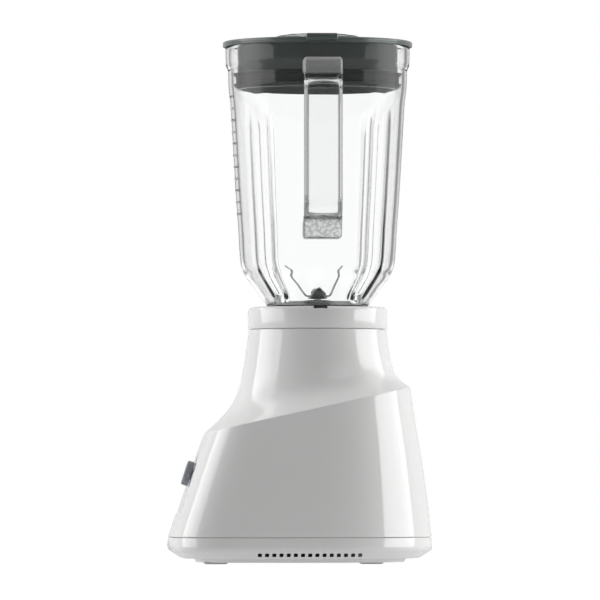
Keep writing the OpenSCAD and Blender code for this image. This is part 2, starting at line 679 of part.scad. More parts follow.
module deck_seal() color(black) on_axis() tube(splash_r - 2.5, hub_r + 0.8, deck_z - 1.5, deck_z + 1);

// Ring round the fan, standing on the cover's own ring, so that the fan draws through the intake slots
shroud_r = fan_r + 1.6;
shroud_t = 2;
shroud_foot_h = 11;
shroud_z = plinth_z + shroud_foot_h;
module fan_shroud() color([0.3, 0.31, 0.33]) on_axis() union() {
    tube(shroud_r + shroud_t, shroud_r, shroud_z, fan_z + fan_h + 1);
    tube(shroud_r + 2 * shroud_t, shroud_r + shroud_t, shroud_z - 4, shroud_z + 3);
}

// ---------- Jug ----------
neck_out_r = 37.4;
neck_in_r = 31.5;
jug_bottom_z = collar_top_z - 3.6;
cone_z = collar_top_z + 1.4;
waist_z = cone_z + 34;
top_r = rim_r - 1.9;
step_z = rim_z - 16;
// Point of the side between the waist and the step, by its share of the flare and of the height
function side_at(flare, rise_share) =
    [waist_r + flare * (top_r - waist_r), waist_z + rise_share * (step_z - 3 - waist_z)];
// Outer profile, radius and height
jug_profile = [
    [neck_out_r, jug_bottom_z], [neck_out_r, cone_z - 0.6], [neck_out_r + 1.2, cone_z],
    [waist_r - 16.6, cone_z + 4.4], [waist_r - 10.2, cone_z + 13.4], [waist_r - 3.8, cone_z + 22.2],
    [waist_r - 1.5, cone_z + 27.4], [waist_r, waist_z], side_at(0.163, 0.17), side_at(0.337, 0.325),
    side_at(0.587, 0.593), side_at(0.707, 0.735), side_at(0.804, 0.833), side_at(0.946, 0.911),
    side_at(1, 1),
    [top_r + 1.5, step_z + 2], [rim_r, step_z + 6], [rim_r, rim_z - 8], [rim_r, rim_z - 1],
    [rim_r - 0.6, rim_z]];
function flute_share(z) = smooth((z - cone_z - 2) / 8) * smooth((rim_z - 36 - z) / 30);
function flute(t, z) =
    let (near = abs((t % 90) - 45))
    near >= flute_half ? 0 : flute_depth * flute_share(z) * pow(cos(90 * near / flute_half), 2);
function spout(t, z) =
    let (off = abs(t - 180))
    off >= 26 ? 0 : spout_reach * pow(cos(90 * off / 26), 2) * smooth((z - step_z + 2) / (rim_z - step_z));
function jug_ring(r, z) = [for (j = [0 : jug_n - 1])
    let (t = 360 * j / jug_n, k = r - flute(t, z) + spout(t, z))
    [k * cos(t), axis_y + k * sin(t), z]];
jug_n = 72;
jug_last = len(jug_profile) - 1;
function wall_at(i) = i < 2 ? neck_out_r - neck_in_r : i < 6 ? jug_wall * 1.3 : jug_wall;

handle_top_z = rim_z - handle_top_drop;
handle_bottom_z = handle_top_z - handle_h;
arm_top_h = 14;
arm_low_h = 17;
grip_chamfer = 5;
function jug_r_at(z) = lookup(z, [for (p = jug_profile) [p[1], p[0]]]);
// Outline of the handle in the XZ plane: a rounded C that grows out of the jug's wall
module handle_outline() difference() {
    rounded(8) polygon([
        [0, handle_top_z], [handle_reach, handle_top_z], [handle_reach, handle_bottom_z + 24],
        [handle_reach - 12, handle_bottom_z], [0, handle_bottom_z]]);
    rounded(12) polygon([
        [0, handle_top_z - arm_top_h], [handle_reach - handle_t, handle_top_z - arm_top_h],
        [handle_reach - handle_t, handle_bottom_z + arm_low_h + 12],
        [handle_reach - handle_t - 7, handle_bottom_z + arm_low_h], [0, handle_bottom_z + arm_low_h]]);
}
module rounded(r) offset(r = r, $fn = 32) offset(delta = -r) children();
// The grip's two edges at the fingers' side are chamfered between the arms
module handle() difference() {
    handle_body();
    low = handle_bottom_z + arm_low_h + 6;
    high = handle_top_z - arm_top_h - 6;
    edge = sqrt(2) * grip_chamfer;
    for (side = [-1, 1])
        translate([handle_reach - handle_t, side * handle_w / 2, low]) rotate([0, 0, 45])
            translate([-edge / 2, -edge / 2, 0]) cube([edge, edge, high - low]);
}
module handle_body() intersection() {
    rotate([90, 0, 0]) translate([0, 0, -handle_w / 2]) linear_extrude(handle_w) handle_outline();
    skin([for (z = [handle_bottom_z - 1, handle_bottom_z + arm_low_h + 3, handle_top_z - arm_top_h,
                    handle_top_z - arm_top_h / 2, handle_top_z + 1])
        let (x = jug_r_at(z) - jug_wall + bury, far = handle_reach + 5)
        [[x, -handle_w, z], [far, -handle_w, z], [far, handle_w, z], [x, handle_w, z]]]);
}
module jug() color(clear) union() {
    skin(concat(
        [for (p = jug_profile) jug_ring(p[0], p[1])],
        [for (i = [jug_last : -1 : 0]) jug_ring(jug_profile[i][0] - wall_at(i), jug_profile[i][1])]),
        loop = true);
    on_axis() handle();
}

// ---------- Collar, blade holder, gasket and bushes ----------
lip_in_r = 29;
lip_t = 2.6;
flange_r = neck_out_r - 2;
flange_t = 2.5;
gasket_t = 1.5;
flange_z = jug_bottom_z - gasket_t - flange_t;
spigot_r = well_r - seat_gap;
nut_wall = 2.8;
module jug_collar() color(white) on_axis() union() {
    thread_r = neck_out_r + seat_gap;
    out = neck_r + 0.6;
    under = collar_top_z - 3;
    turned([
        [lip_in_r, flange_z - lip_t], [thread_r + nut_wall, flange_z - lip_t],
        [thread_r + nut_wall, under], [spigot_r - 3, under],
        [spigot_r - 3, spigot_bottom_z], [spigot_r, spigot_bottom_z], [spigot_r, under],
        [out - wall, under], [out - wall, neck_z + seat_gap], [out, neck_z + seat_gap],
        [out, collar_top_z - 3], [out - 0.9, collar_top_z - 0.9], [out - 3, collar_top_z],
        [thread_r + 1, collar_top_z], [thread_r, collar_top_z - 0.6], [thread_r, flange_z],
        [lip_in_r, flange_z]]);
    around(key_count, spigot_r - 0.5, 45)
        block([0, -key_w / 2, deck_z + 4], [key_out + 0.3, key_w / 2, neck_z - 2]);
}
blade_z = collar_top_z + 7.2;
hub_top_z = blade_z - 1.4;
holder_top_z = hub_top_z - 1.2;
bush_r = blade_shaft_r + 2.2;
bush_h = 5;
hub_bottom_z = flange_z - 2.6;
hex_top_z = hub_bottom_z - 0.8;
module blade_holder() color(steel) on_axis() difference() {
    body_r = neck_in_r - seat_gap;
    turned([
        [0, hub_bottom_z], [9, hub_bottom_z], [10, flange_z], [flange_r, flange_z],
        [flange_r, flange_z + flange_t], [body_r, flange_z + flange_t],
        [body_r, holder_top_z - 3.4], [body_r - 3.4, holder_top_z],
        [11, holder_top_z], [9, hub_top_z], [0, hub_top_z]]);
    disc(bush_r, hub_bottom_z - 1, hub_bottom_z + bush_h);
    disc(bush_r, hub_top_z - bush_h, hub_top_z + 1);
    disc(blade_shaft_r + 0.8, hub_bottom_z, hub_top_z);
}
module jug_gasket() color(dark_grey) on_axis()
    tube(flange_r, neck_in_r, flange_z + flange_t, jug_bottom_z);
module blade_bush(z) color([0.70, 0.58, 0.36]) on_axis() tube(bush_r, blade_shaft_r + run_gap, z, z + bush_h);

// ---------- Blade set and driven coupling ----------
shaft_foot_z = coupling_floor_z + 4;
upper_blade_z = blade_z + blade_t;
nut_z = upper_blade_z + blade_t;
nut_h = 3.2;
wing_root = 10;
bend_r = 0.62 * blade_t;
module driven_coupling() color(black) on_axis() difference() {
    union() {
        translate([0, 0, coupling_floor_z + 0.6])
            cylinder(r = hex_r, h = hex_top_z - coupling_floor_z - 0.6, $fn = 6);
        disc(hex_r + 1.6, coupling_top_z + 0.6, hex_top_z);
    }
    disc(blade_shaft_r, shaft_foot_z, hex_top_z + 1);
}
module blade_shaft() color(steel) on_axis() disc(blade_shaft_r, shaft_foot_z, nut_z + nut_h);
// A wing rises from a rounded bend at the end of the blade's hub, and narrows to its tip
module wing(angle, tip_r) translate([0, wing_root, blade_t / 2]) {
    length = (tip_r - wing_root) / cos(angle);
    rotate([0, 90, 0]) translate([0, 0, -blade_w / 2]) cylinder(r = bend_r, h = blade_w);
    rotate([angle, 0, 0]) translate([0, 0, -blade_t / 2]) linear_extrude(blade_t)
        polygon([[0.2 - blade_w / 2, 0], [blade_w / 2 - 0.2, 0], [blade_w * 0.42, length * 0.55],
            [blade_w * 0.08, length], [-blade_w * 0.12, length], [0.2 - blade_w / 2, length * 0.4]]);
}
module blade(z, turned_by, angles, tips) color(steel) on_axis() rotate([0, 0, turned_by]) translate([0, 0, z])
    difference() {
        union() {
            disc(blade_w * 0.62, 0, blade_t);
            translate([0, 0, blade_t / 2]) cube([blade_w - 0.4, 2 * wing_root, blade_t], center = true);
            wing(angles[0], tips[0]);
            rotate([0, 0, 180]) wing(angles[1], tips[1]);
        }
        disc(blade_shaft_r, -1, blade_t + 1);
    }
module lower_blade() blade(blade_z, 90, [14, 22], [blade_tip_r, blade_tip_r]);
module upper_blade() blade(upper_blade_z, 0, [66, 54], [blade_tip_r * 0.76, blade_tip_r]);
module blade_nut() color(steel) on_axis() translate([0, 0, nut_z]) difference() {
    union() {
        cylinder(r = 5.6, h = nut_h, $fn = 6);
        translate([0, 0, nut_h]) turned([[0, 0], [4.2, 0], [3.6, 1], [2.2, 1.8], [0, 2.1]]);
    }
    translate([0, 0, -1]) cylinder(r = blade_shaft_r, h = nut_h + 1);
}

// ---------- Lid and measuring cup ----------
cup_wall = 2;
lid_top_z = rim_z + lid_rim_h;
lid_floor_z = rim_z;
cup_z = lid_top_z + 2 * seat_gap;
cup_top_z = cup_z + cup_flange_h;
seat_r = cup_r + 2 * seat_gap;
seat_depth = 9;
tab_h = 2;
tab_reach = 7;
seal_h = 3;
seal_zs = [rim_z - skirt_depth + 2.6, rim_z - skirt_depth + 10.6];
module lid() color(dark_grey) on_axis() difference() {
    under = rim_z + seat_gap;
    inner = skirt_r - lid_wall;
    union() {
        turned([
            [skirt_r, rim_z - skirt_depth], [skirt_r, under], [lid_r - 0.6, under], [lid_r, under + 0.6],
            [lid_r, lid_top_z - 1.2], [lid_r - 1.2, lid_top_z], [inner + 1, lid_top_z],
            [inner, lid_top_z - 1], [inner - 0.8, lid_floor_z], [cup_flange_r + 1.6, lid_floor_z],
            [cup_flange_r + 0.8, lid_top_z], [seat_r, lid_top_z], [seat_r, lid_floor_z - seat_depth],
            [seat_r + lid_wall, lid_floor_z - seat_depth],
            [seat_r + lid_wall, lid_floor_z - lid_wall], [inner, lid_floor_z - lid_wall],
            [inner, rim_z - skirt_depth]]);
        block([inner + 2, -tab_w / 2, under], [lid_r + tab_reach, tab_w / 2, lid_top_z + tab_h]);
    }
    disc(inner + 1, lid_top_z, lid_top_z + tab_h + 1);
}
module lid_seal() color([0.22, 0.24, 0.24]) on_axis() turned([
    [skirt_r, seal_zs[0] - seal_h / 2], for (z = seal_zs) each [
        [skirt_r + 0.8, z - seal_h / 2], [jug_r_at(z) - jug_wall - 1.5 * seat_gap, z + 0.6],
        [jug_r_at(z) - jug_wall - 1.5 * seat_gap, z + 1], [skirt_r + 0.8, z + seal_h / 2]],
    [skirt_r, seal_zs[1] + seal_h / 2]]);
module measuring_cup() color(clear) on_axis() turned([
    [0, cup_top_z], [cup_flange_r - 0.8, cup_top_z], [cup_flange_r, cup_top_z - 0.8],
    [cup_flange_r, cup_z + 0.8], [cup_flange_r - 0.8, cup_z], [cup_r, cup_z],
    [cup_r - 1, cup_z - cup_depth], [cup_r - 1 - cup_wall, cup_z - cup_depth],
    [cup_r - cup_wall, cup_top_z - cup_wall], [0, cup_top_z - cup_wall]]);

motor_housing();
bottom_cover();
foot(-1, -foot_front);  // foot_front_left
foot(1, -foot_front);  // foot_front_right
foot(-1, foot_rear);  // foot_rear_left
foot(1, foot_rear);  // foot_rear_right
cover_screws();
dial_plate();
rotary_switch();
switch_nut();
cord_gland();
interlock_switch();
suppression_capacitor();
fan_shroud();
stator_core();
field_coil(-1);  // field_coil_left
field_coil(1);  // field_coil_right
upper_motor_bracket();
lower_motor_bracket();
bearing(upper_bearing_z);  // upper_bearing
bearing(lower_bearing_z);  // lower_bearing
motor_tie_bolts();
motor_dampers();
motor_screws();
brush_holder(-1);  // brush_holder_front
brush_holder(1);  // brush_holder_rear
carbon_brushes();
deck_seal();
armature_shaft();
armature_core();
armature_windings();
commutator();
cooling_fan();
drive_coupling();
control_knob();
interlock_plunger();
jug();
jug_collar();
blade_holder();
jug_gasket();
blade_bush(hub_top_z - bush_h);  // upper_blade_bush
blade_bush(hub_bottom_z);  // lower_blade_bush
driven_coupling();
blade_shaft();
lower_blade();
upper_blade();
blade_nut();
lid();
lid_seal();
measuring_cup();
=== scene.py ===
"""Countertop blender: the looks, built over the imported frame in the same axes, in metres.

Shapes are given in millimetres and scaled by MM; +X is the handle's side, -Y the front with the knob.
"""

import json
from functools import lru_cache
from math import atan, atan2, cos, pi, radians, sin, sqrt, tan

import bmesh
import bpy
from mathutils import Matrix, Vector


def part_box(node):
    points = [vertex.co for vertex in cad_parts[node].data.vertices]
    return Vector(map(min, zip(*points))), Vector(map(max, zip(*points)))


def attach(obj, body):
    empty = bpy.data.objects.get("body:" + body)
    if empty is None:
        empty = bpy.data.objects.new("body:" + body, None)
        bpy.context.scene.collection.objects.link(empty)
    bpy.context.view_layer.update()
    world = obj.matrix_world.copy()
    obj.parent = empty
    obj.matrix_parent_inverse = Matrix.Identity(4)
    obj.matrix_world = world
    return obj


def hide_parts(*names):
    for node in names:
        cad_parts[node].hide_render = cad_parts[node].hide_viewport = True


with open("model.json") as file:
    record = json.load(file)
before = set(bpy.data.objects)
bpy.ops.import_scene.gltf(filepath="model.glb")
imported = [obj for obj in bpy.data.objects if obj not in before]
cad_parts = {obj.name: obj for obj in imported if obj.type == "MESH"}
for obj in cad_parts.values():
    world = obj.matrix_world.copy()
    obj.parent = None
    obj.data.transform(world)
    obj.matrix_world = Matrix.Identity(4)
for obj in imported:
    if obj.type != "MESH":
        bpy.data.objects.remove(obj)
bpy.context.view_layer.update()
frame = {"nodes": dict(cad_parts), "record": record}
scene = bpy.context.scene

MM = 0.001
X, Y, Z = range(3)


def extent(node, axis):
    """A node's lowest and highest place along an axis, in millimetres to a hundredth."""
    return [round(corner[axis] / MM, 2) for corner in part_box(node)]


def middle(node, axis):
    """A node's middle along an axis, in millimetres to a tenth."""
    return round(sum(extent(node, axis)) / 2, 1)


# the housing, which is as deep in front of the origin as behind it
SIDE_X = extent("motor_housing", X)[1]
REAR_Y = extent("motor_housing", Y)[1]
SEAM_Z, NECK_Z = extent("motor_housing", Z)
NECK_R = 51.7
WALL = 2.6
# the axis of the motor and the jug, and what stands on it
AXIS_Y = middle("jug_collar", Y)
COLLAR_R = extent("jug_collar", X)[1]
COLLAR_LOW, COLLAR_TOP = extent("jug_collar", Z)
RIM_Z = extent("jug", Z)[1]
RIM_R = round(AXIS_Y - extent("jug", Y)[0], 2)
HANDLE_X = extent("jug", X)[1]


# ---- small helpers
def clamp(v, low=0.0, high=1.0):
    return min(max(v, low), high)


def smooth(v):
    s = clamp(v)
    return s * s * (3 - 2 * s)


def cosd(a):
    return cos(radians(a))


def sind(a):
    return sin(radians(a))


def lerp(a, b, s):
    return a + (b - a) * s


def around(n):
    """n directions in degrees, evenly spaced."""
    return [360 * j / n for j in range(n)]


def polar(r, t, z):
    """The point at radius r from the motor's axis, in direction t."""
    return Vector((r * cosd(t), AXIS_Y + r * sind(t), z))


def linked(name, data):
    """A new object in the scene, with the data it shows."""
    obj = bpy.data.objects.new(name, data)
    scene.collection.objects.link(obj)
    return obj


def make(name, verts, faces, matrix=None):
    """A mesh object from millimetre points."""
    mesh = bpy.data.meshes.new(name)
    points = [Vector(v) for v in verts]
    if matrix is not None:
        points = [matrix @ p for p in points]
    mesh.from_pydata([p * MM for p in points], [], faces)
    return linked(name, mesh)


def tidy(obj, angle=34.0):
    """Welds, turns the normals out and shades smooth, with edges sharper than angle kept crisp."""
    weld = 1e-6
    bm = bmesh.new()
    bm.from_mesh(obj.data)
    bmesh.ops.remove_doubles(bm, verts=bm.verts, dist=weld)
    bmesh.ops.recalc_face_normals(bm, faces=bm.faces)
    limit = radians(angle)
    for f in bm.faces:
        f.smooth = True
    for e in bm.edges:
        e.smooth = len(e.link_faces) == 2 and e.calc_face_angle(0.0) < limit
    bm.to_mesh(obj.data)
    bm.free()
    return obj


def skin(rows, closed=False):
    """Verts and faces through rows of points, each row a loop. A row of one point is a pole.
    With closed, the last row joins the first."""
    n = max(len(row) for row in rows)
    verts, rings = [], []
    for row in rows:
        start = len(verts)
        rings.append([start] * n if len(row) == 1 else list(range(start, start + n)))
        verts += row
    faces = []
    following = rings[1:] + rings[:1] if closed else rings[1:]
    for ring, up in zip(rings, following):
        for j in range(n):
            k = (j + 1) % n
            corners = dict.fromkeys((ring[j], ring[k], up[k], up[j]))
            if len(corners) > 2:
                faces.append(tuple(corners))
    return verts, faces


def swept(rows):
    """Verts and faces of a bar through rows of points, with a flat cap at each end."""
    verts, faces = skin(rows)
    n = len(rows[0])
    faces.append(tuple(reversed(range(n))))
    faces.append(tuple(range(len(verts) - n, len(verts))))
    return verts, faces


def circle(r, z, n):
    """n points round the origin at height z."""
    return [(r * cos(2 * pi * j / n), r * sin(2 * pi * j / n), z) for j in range(n)]


def fillet(points, radius, seg=4, closed=True, special=None):
    """Rounds the corners of a polygon of (u, v) points; special gives other radii by index."""
    side_share, nearly_straight, no_length = 0.46, radians(88), 1e-6
    special = special or {}
    out = []
    n = len(points)
    for i, p in enumerate(points):
        r = special.get(i, radius)
        p = Vector(p)
        a = Vector(points[i - 1]) - p
        b = Vector(points[(i + 1) % n]) - p
        la, lb = a.length, b.length
        open_end = not closed and i in (0, n - 1)
        if open_end or r <= 0 or min(la, lb) < no_length or a.angle(b) / 2 > nearly_straight:
            out.append(tuple(points[i]))
            continue
        a /= la
        b /= lb
        half = a.angle(b) / 2
        cut = min(r / tan(half), side_share * la, side_share * lb)
        p0, p2 = p + a * cut, p + b * cut
        r = cut * tan(half)
        centre = p + (a + b).normalized() * (r / sin(half))
        start, end = p0 - centre, p2 - centre
        sweep = start.angle_signed(end)
        steps = max(1, round(seg * abs(sweep) / (pi / 2)) + 1)
        for k in range(steps + 1):
            turn = Matrix.Rotation(-sweep * k / steps, 2)
            out.append(tuple(centre + turn @ start))
    return out


def lathe(name, profile, n=160, radius=0.4, seg=4, special=None, matrix=None):
    """Turns a closed (radius, height) polygon round the axis. Points at radius 0 become poles."""
    pole_r = 1e-4
    points = fillet(profile, radius, seg, special=special)
    rows = [circle(r, z, n) if r >= pole_r else [(0, 0, z)] for r, z in points]
    verts, faces = skin(rows, closed=True)
    return tidy(make(name, verts, faces, spin(0) if matrix is None else matrix))


def bevel(bm, edges, offset, seg):
    """Rounds edges in seg steps; one step is a chamfer."""
    bmesh.ops.bevel(
        bm, geom=edges, offset=offset, segments=seg, profile=0.5, affect="EDGES", clamp_overlap=True
    )


def box_mesh(low, high, round_r=0.0, seg=3, matrix=None):
    """Verts and faces of a box, rounded by a bevel."""
    bm = bmesh.new()
    bmesh.ops.create_cube(bm, size=1.0)
    size = Vector(high) - Vector(low)
    mid = (Vector(high) + Vector(low)) / 2
    for v in bm.verts:
        v.co = Vector((v.co.x * size.x, v.co.y * size.y, v.co.z * size.z)) + mid
    if round_r > 0:
        bevel(bm, list(bm.edges), round_r, seg)
    bm.verts.ensure_lookup_table()
    index = {v: i for i, v in enumerate(bm.verts)}
    verts = [tuple((matrix @ v.co) if matrix else v.co) for v in bm.verts]
    faces = [tuple(index[v] for v in f.verts) for f in bm.faces]
    bm.free()
    return verts, faces


def cylinder_mesh(r, z0, z1, n=32, matrix=None):
    """Verts and faces of a cylinder along z."""
    verts, faces = swept([circle(r, z0, n), circle(r, z1, n)])
    if matrix:
        verts = [tuple(matrix @ Vector(v)) for v in verts]
    return verts, faces


def gather(name, parts, matrix=None):
    """One object from several (verts, faces) lists."""
    verts, faces = [], []
    for v, f in parts:
        start = len(verts)
        verts += v
        faces += [tuple(start + i for i in face) for face in f]
    return make(name, verts, faces, matrix)


def merge(obj, other):
    """Moves the other object's mesh into this one."""
    bm = bmesh.new()
    bm.from_mesh(obj.data)
    bm.from_mesh(other.data)
    bm.to_mesh(obj.data)
    bm.free()
    bpy.data.objects.remove(other)
    return obj


def boolean(obj, cutter, operation="DIFFERENCE"):
    """Cuts the cutter out of the object, or joins it on, and removes it."""
    for o in (obj, cutter):
        bm = bmesh.new()
        bm.from_mesh(o.data)
        bmesh.ops.recalc_face_normals(bm, faces=bm.faces)
        bm.to_mesh(o.data)
        bm.free()
    mod = obj.modifiers.new("cut", "BOOLEAN")
    mod.operation = operation
    mod.solver = "EXACT"
    mod.object = cutter
    bpy.context.view_layer.objects.active = obj
    bpy.ops.object.modifier_apply(modifier=mod.name)
    bpy.data.objects.remove(cutter)
    return obj


def paint(obj, material):
    obj.data.materials.clear()
    obj.data.materials.append(material)


def dress(obj, body, slot, *replaced, material=None):
    """Hangs a piece on the body that it rides on, hides the CAD nodes that it replaces, and paints it with
    the slot's material or another one."""
    paint(obj, material or BY_SLOT[slot])
    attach(obj, body)
    if replaced:
        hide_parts(*replaced)
    return obj


def spin(angle):
    """A turn about the axis of the motor and the jug."""
    return Matrix.Translation((0, AXIS_Y, 0)) @ Matrix.Rotation(radians(angle), 4, "Z")


# ---- materials
def add(tree, kind):
    """A new shader node in a tree."""
    return tree.nodes.new("ShaderNode" + kind)


def shader(name, color, rough, metallic=0.0, **sockets):
    """A material with its tree and shader; sockets are further shader inputs, with _ for a space."""
    mat = bpy.data.materials.new(name)
    mat.use_nodes = True
    tree = mat.node_tree
    bsdf = tree.nodes["Principled BSDF"]
    bsdf.inputs["Base Color"].default_value = (*color, 1)
    bsdf.inputs["Roughness"].default_value = rough
    bsdf.inputs["Metallic"].default_value = metallic
    for key, value in sockets.items():
        bsdf.inputs[key.replace("_", " ")].default_value = value
    return mat, tree, bsdf


def feed(tree, socket, value):
    """Gives a socket a number, a colour or another node's output. None leaves it alone."""
    if isinstance(value, bpy.types.NodeSocket):
        tree.links.new(value, socket)
    elif isinstance(value, tuple):
        socket.default_value = (*value, 1)
    elif value is not None:
        socket.default_value = value


def coords(tree, scale=(1, 1, 1)):
    """A point's place in the object, in metres, with each axis scaled."""
    tex = add(tree, "TexCoord")
    mapping = add(tree, "Mapping")
    mapping.inputs["Scale"].default_value = scale
    tree.links.new(tex.outputs["Object"], mapping.inputs["Vector"])
    return mapping.outputs["Vector"]


def axes(tree, vector):
    """The x, y and z of a vector."""
    split = add(tree, "SeparateXYZ")
    tree.links.new(vector, split.inputs[0])
    return tuple(split.outputs)


def noise(tree, vector, scale, detail=3.0, rough=0.5):
    """A noise value; scale counts its features in a metre."""
    node = add(tree, "TexNoise")
    node.inputs["Scale"].default_value = scale
    node.inputs["Detail"].default_value = detail
    node.inputs["Roughness"].default_value = rough
    tree.links.new(vector, node.inputs["Vector"])
    return node.outputs["Fac"]


def map_range(tree, kind, *values):
    """Maps a value from one range to another: values are the value and the ends of both ranges."""
    node = add(tree, "MapRange")
    node.interpolation_type = kind
    for key, value in zip(("Value", "From Min", "From Max", "To Min", "To Max"), values):
        feed(tree, node.inputs[key], value)
    return node.outputs["Result"]


def spread(tree, value, low, high):
    """Maps a noise value, which is mostly 0.3 to 0.7, to low..high."""
    return map_range(tree, "LINEAR", value, 0.3, 0.7, low, high)


def tint(tree, share, first, second):
    """Mixes two colours; each is a colour or another node's output."""
    node = add(tree, "Mix")
    node.data_type = "RGBA"
    for i, value in zip((0, 6, 7), (share, first, second)):
        feed(tree, node.inputs[i], value)
    return node.outputs[2]


def shades(color, vary):
    """A darker and a lighter form of a colour."""
    return tuple(c * (1 - vary) for c in color), tuple(min(1.0, c * (1 + vary)) for c in color)


def bump(tree, bsdf, height, strength, distance):
    """Raises the surface's look by a height between 0 and 1, times distance in metres."""
    node = add(tree, "Bump")
    node.inputs["Strength"].default_value = strength
    node.inputs["Distance"].default_value = distance
    tree.links.new(height, node.inputs["Height"])
    tree.links.new(node.outputs["Normal"], bsdf.inputs["Normal"])


def plastic(name, color, rough, vary, peel, **sockets):
    """Moulded plastic: slight tone and gloss variation, and a very fine surface grain."""
    tones, smudges, grain = 14.0, 55.0, 900.0
    mat, tree, bsdf = shader(name, color, rough, **sockets)
    v = coords(tree)
    feed(tree, bsdf.inputs["Base Color"], tint(tree, noise(tree, v, tones, 2.0), *shades(color, vary)))
    feed(tree, bsdf.inputs["Roughness"], spread(tree, noise(tree, v, smudges), rough * 0.85, rough * 1.15))
    bump(tree, bsdf, noise(tree, v, grain), peel, 0.0002)
    return mat


def metal(name, color, rough, stretch=(1, 1, 1), scale=1500.0, strength=0.1, vary=0.08):
    """Metal with drawn or turned tool marks. They run along each axis whose share in stretch is small."""
    mat, tree, bsdf = shader(name, color, rough, 1.0)
    marks = noise(tree, coords(tree, stretch), scale, 4.0, 0.6)
    feed(tree, bsdf.inputs["Base Color"], tint(tree, marks, *shades(color, vary)))
    feed(tree, bsdf.inputs["Roughness"], spread(tree, marks, rough * 0.75, rough * 1.3))
    bump(tree, bsdf, marks, strength, 0.0002)
    return mat


def rubber(name, color, rough):
    """Matt rubber: mottled, and finely pitted."""
    mottle, pits = 40.0, 1800.0
    mat, tree, bsdf = shader(name, color, rough)
    v = coords(tree)
    speck = noise(tree, v, pits, 4.0, 0.6)
    dark, light = (tuple(c * share for c in color) for share in (0.85, 1.2))
    feed(tree, bsdf.inputs["Base Color"], tint(tree, noise(tree, v, mottle), dark, light))
    feed(tree, bsdf.inputs["Roughness"], spread(tree, speck, rough * 0.9, min(1.0, rough * 1.15)))
    bump(tree, bsdf, speck, 0.25, 0.0003)
    return mat


def clear(name, color, ripple=0.06):
    """Clear moulded plastic: refracts, with a faint ripple from the mould, drawn out along z."""
    tones, waves = 18.0, 60.0
    mat, tree, bsdf = shader(name, color, 0.0, IOR=1.49, Transmission_Weight=1.0)
    v = coords(tree, (1, 1, 0.35))
    dark = tuple(c * 0.985 for c in color)
    feed(tree, bsdf.inputs["Base Color"], tint(tree, noise(tree, v, tones, 2.0), dark, color))
    bump(tree, bsdf, noise(tree, v, waves), ripple, 0.0004)
    return mat


class Maths:
    """Short forms for the maths nodes of one tree. An input is a number or another node's output."""

    def __init__(self, tree):
        self.tree = tree

    def __call__(self, operation, first, second=None):
        node = add(self.tree, "Math")
        node.operation = operation
        for socket, value in zip(node.inputs, (first, second)):
            feed(self.tree, socket, value)
        return node.outputs[0]

    def times(self, first, *others):
        for other in others:
            first = self("MULTIPLY", first, other)
        return first

    def turn(self, x, y):
        """The direction of (x, y) in degrees, 0 along x."""
        return self("MULTIPLY", self("ARCTAN2", y, x), 180 / pi)

    def ramp(self, value, start, end, low=0.0, high=1.0):
        """Runs smoothly from low at start to high at end."""
        return map_range(self.tree, "SMOOTHSTEP", value, start, end, low, high)

    def window(self, value, start, full, fade, end):
        """1 between full and fade, and runs smoothly to 0 at start and at end."""
        return self.times(self.ramp(value, start, full), self.ramp(value, end, fade))

    def mix(self, share, low, high):
        node = add(self.tree, "Mix")
        node.data_type = "FLOAT"
        for i, v in zip((0, 2, 3), (share, low, high)):
            feed(self.tree, node.inputs[i], v)
        return node.outputs[0]


BY_SLOT = {
    "housing_white": plastic("white_housing", (0.84, 0.84, 0.835), 0.055, 0.008, 0.02),
    "collar_white": plastic("white_collar", (0.84, 0.84, 0.835), 0.055, 0.008, 0.02),
    "jug_clear": clear("jug_clear", (0.985, 0.99, 0.988)),
    "cup_clear": clear("cup_clear", (0.97, 0.98, 0.975), ripple=0.03),
    "lid_grey": plastic("lid_grey", (0.09, 0.113, 0.105), 0.22, 0.08, 0.1, IOR=1.5, Specular_IOR_Level=0.47),
    "seal_rubber": rubber("seal_rubber", (0.03, 0.036, 0.035), 0.5),
    "knob_grey": plastic("knob_grey", (0.3, 0.31, 0.345), 0.35, 0.06, 0.25),
    "dial_silver": metal("dial_silver", (0.72, 0.735, 0.76), 0.32, (1, 1, 1), 1200.0, 0.05, 0.03),
    "black_plastic": plastic("black_plastic", (0.022, 0.022, 0.024), 0.4, 0.15, 0.25),
    "foot_rubber": rubber("foot_rubber", (0.4, 0.4, 0.395), 0.5),
    "blade_steel": metal("blade_steel", (0.62, 0.63, 0.64), 0.22, (1, 0.08, 1), 1400.0, 0.12),
    "screw_steel": metal("screw_steel", (0.5, 0.5, 0.52), 0.32),
    "bearing_steel": metal("bearing_steel", (0.62, 0.62, 0.64), 0.18),
    "bracket_aluminium": metal("bracket_aluminium", (0.66, 0.67, 0.68), 0.42, scale=700.0, strength=0.25),
    "core_iron": metal("core_iron", (0.3, 0.3, 0.31), 0.5, (0.05, 0.05, 1), 2600.0, 0.5, 0.2),
    "coil_copper": metal("coil_copper", (0.62, 0.27, 0.1), 0.33, (0.1, 0.1, 1), 1700.0, 0.8, 0.25),
    "brush_carbon": plastic("brush_carbon", (0.03, 0.03, 0.032), 0.55, 0.2, 0.4),
    "bush_bronze": metal("bush_bronze", (0.5, 0.33, 0.15), 0.45, scale=900.0, strength=0.2),
    "capacitor_yellow": plastic("capacitor_yellow", (0.62, 0.45, 0.06), 0.35, 0.05, 0.1),
}
dial_print = plastic("dial_print", (0.09, 0.095, 0.105), 0.5, 0.1, 0.1)
turned_steel = metal("turned_steel", (0.55, 0.56, 0.58), 0.28, (1, 1, 0.05), 1400.0, 0.1)
nut_steel = metal("nut_steel", (0.74, 0.74, 0.75), 0.5, (1, 1, 0.05), 1400.0, 0.1)

for part in frame["record"]["subparts"]:
    paint(frame["nodes"][part["node"]], BY_SLOT[part["material_slot"]])


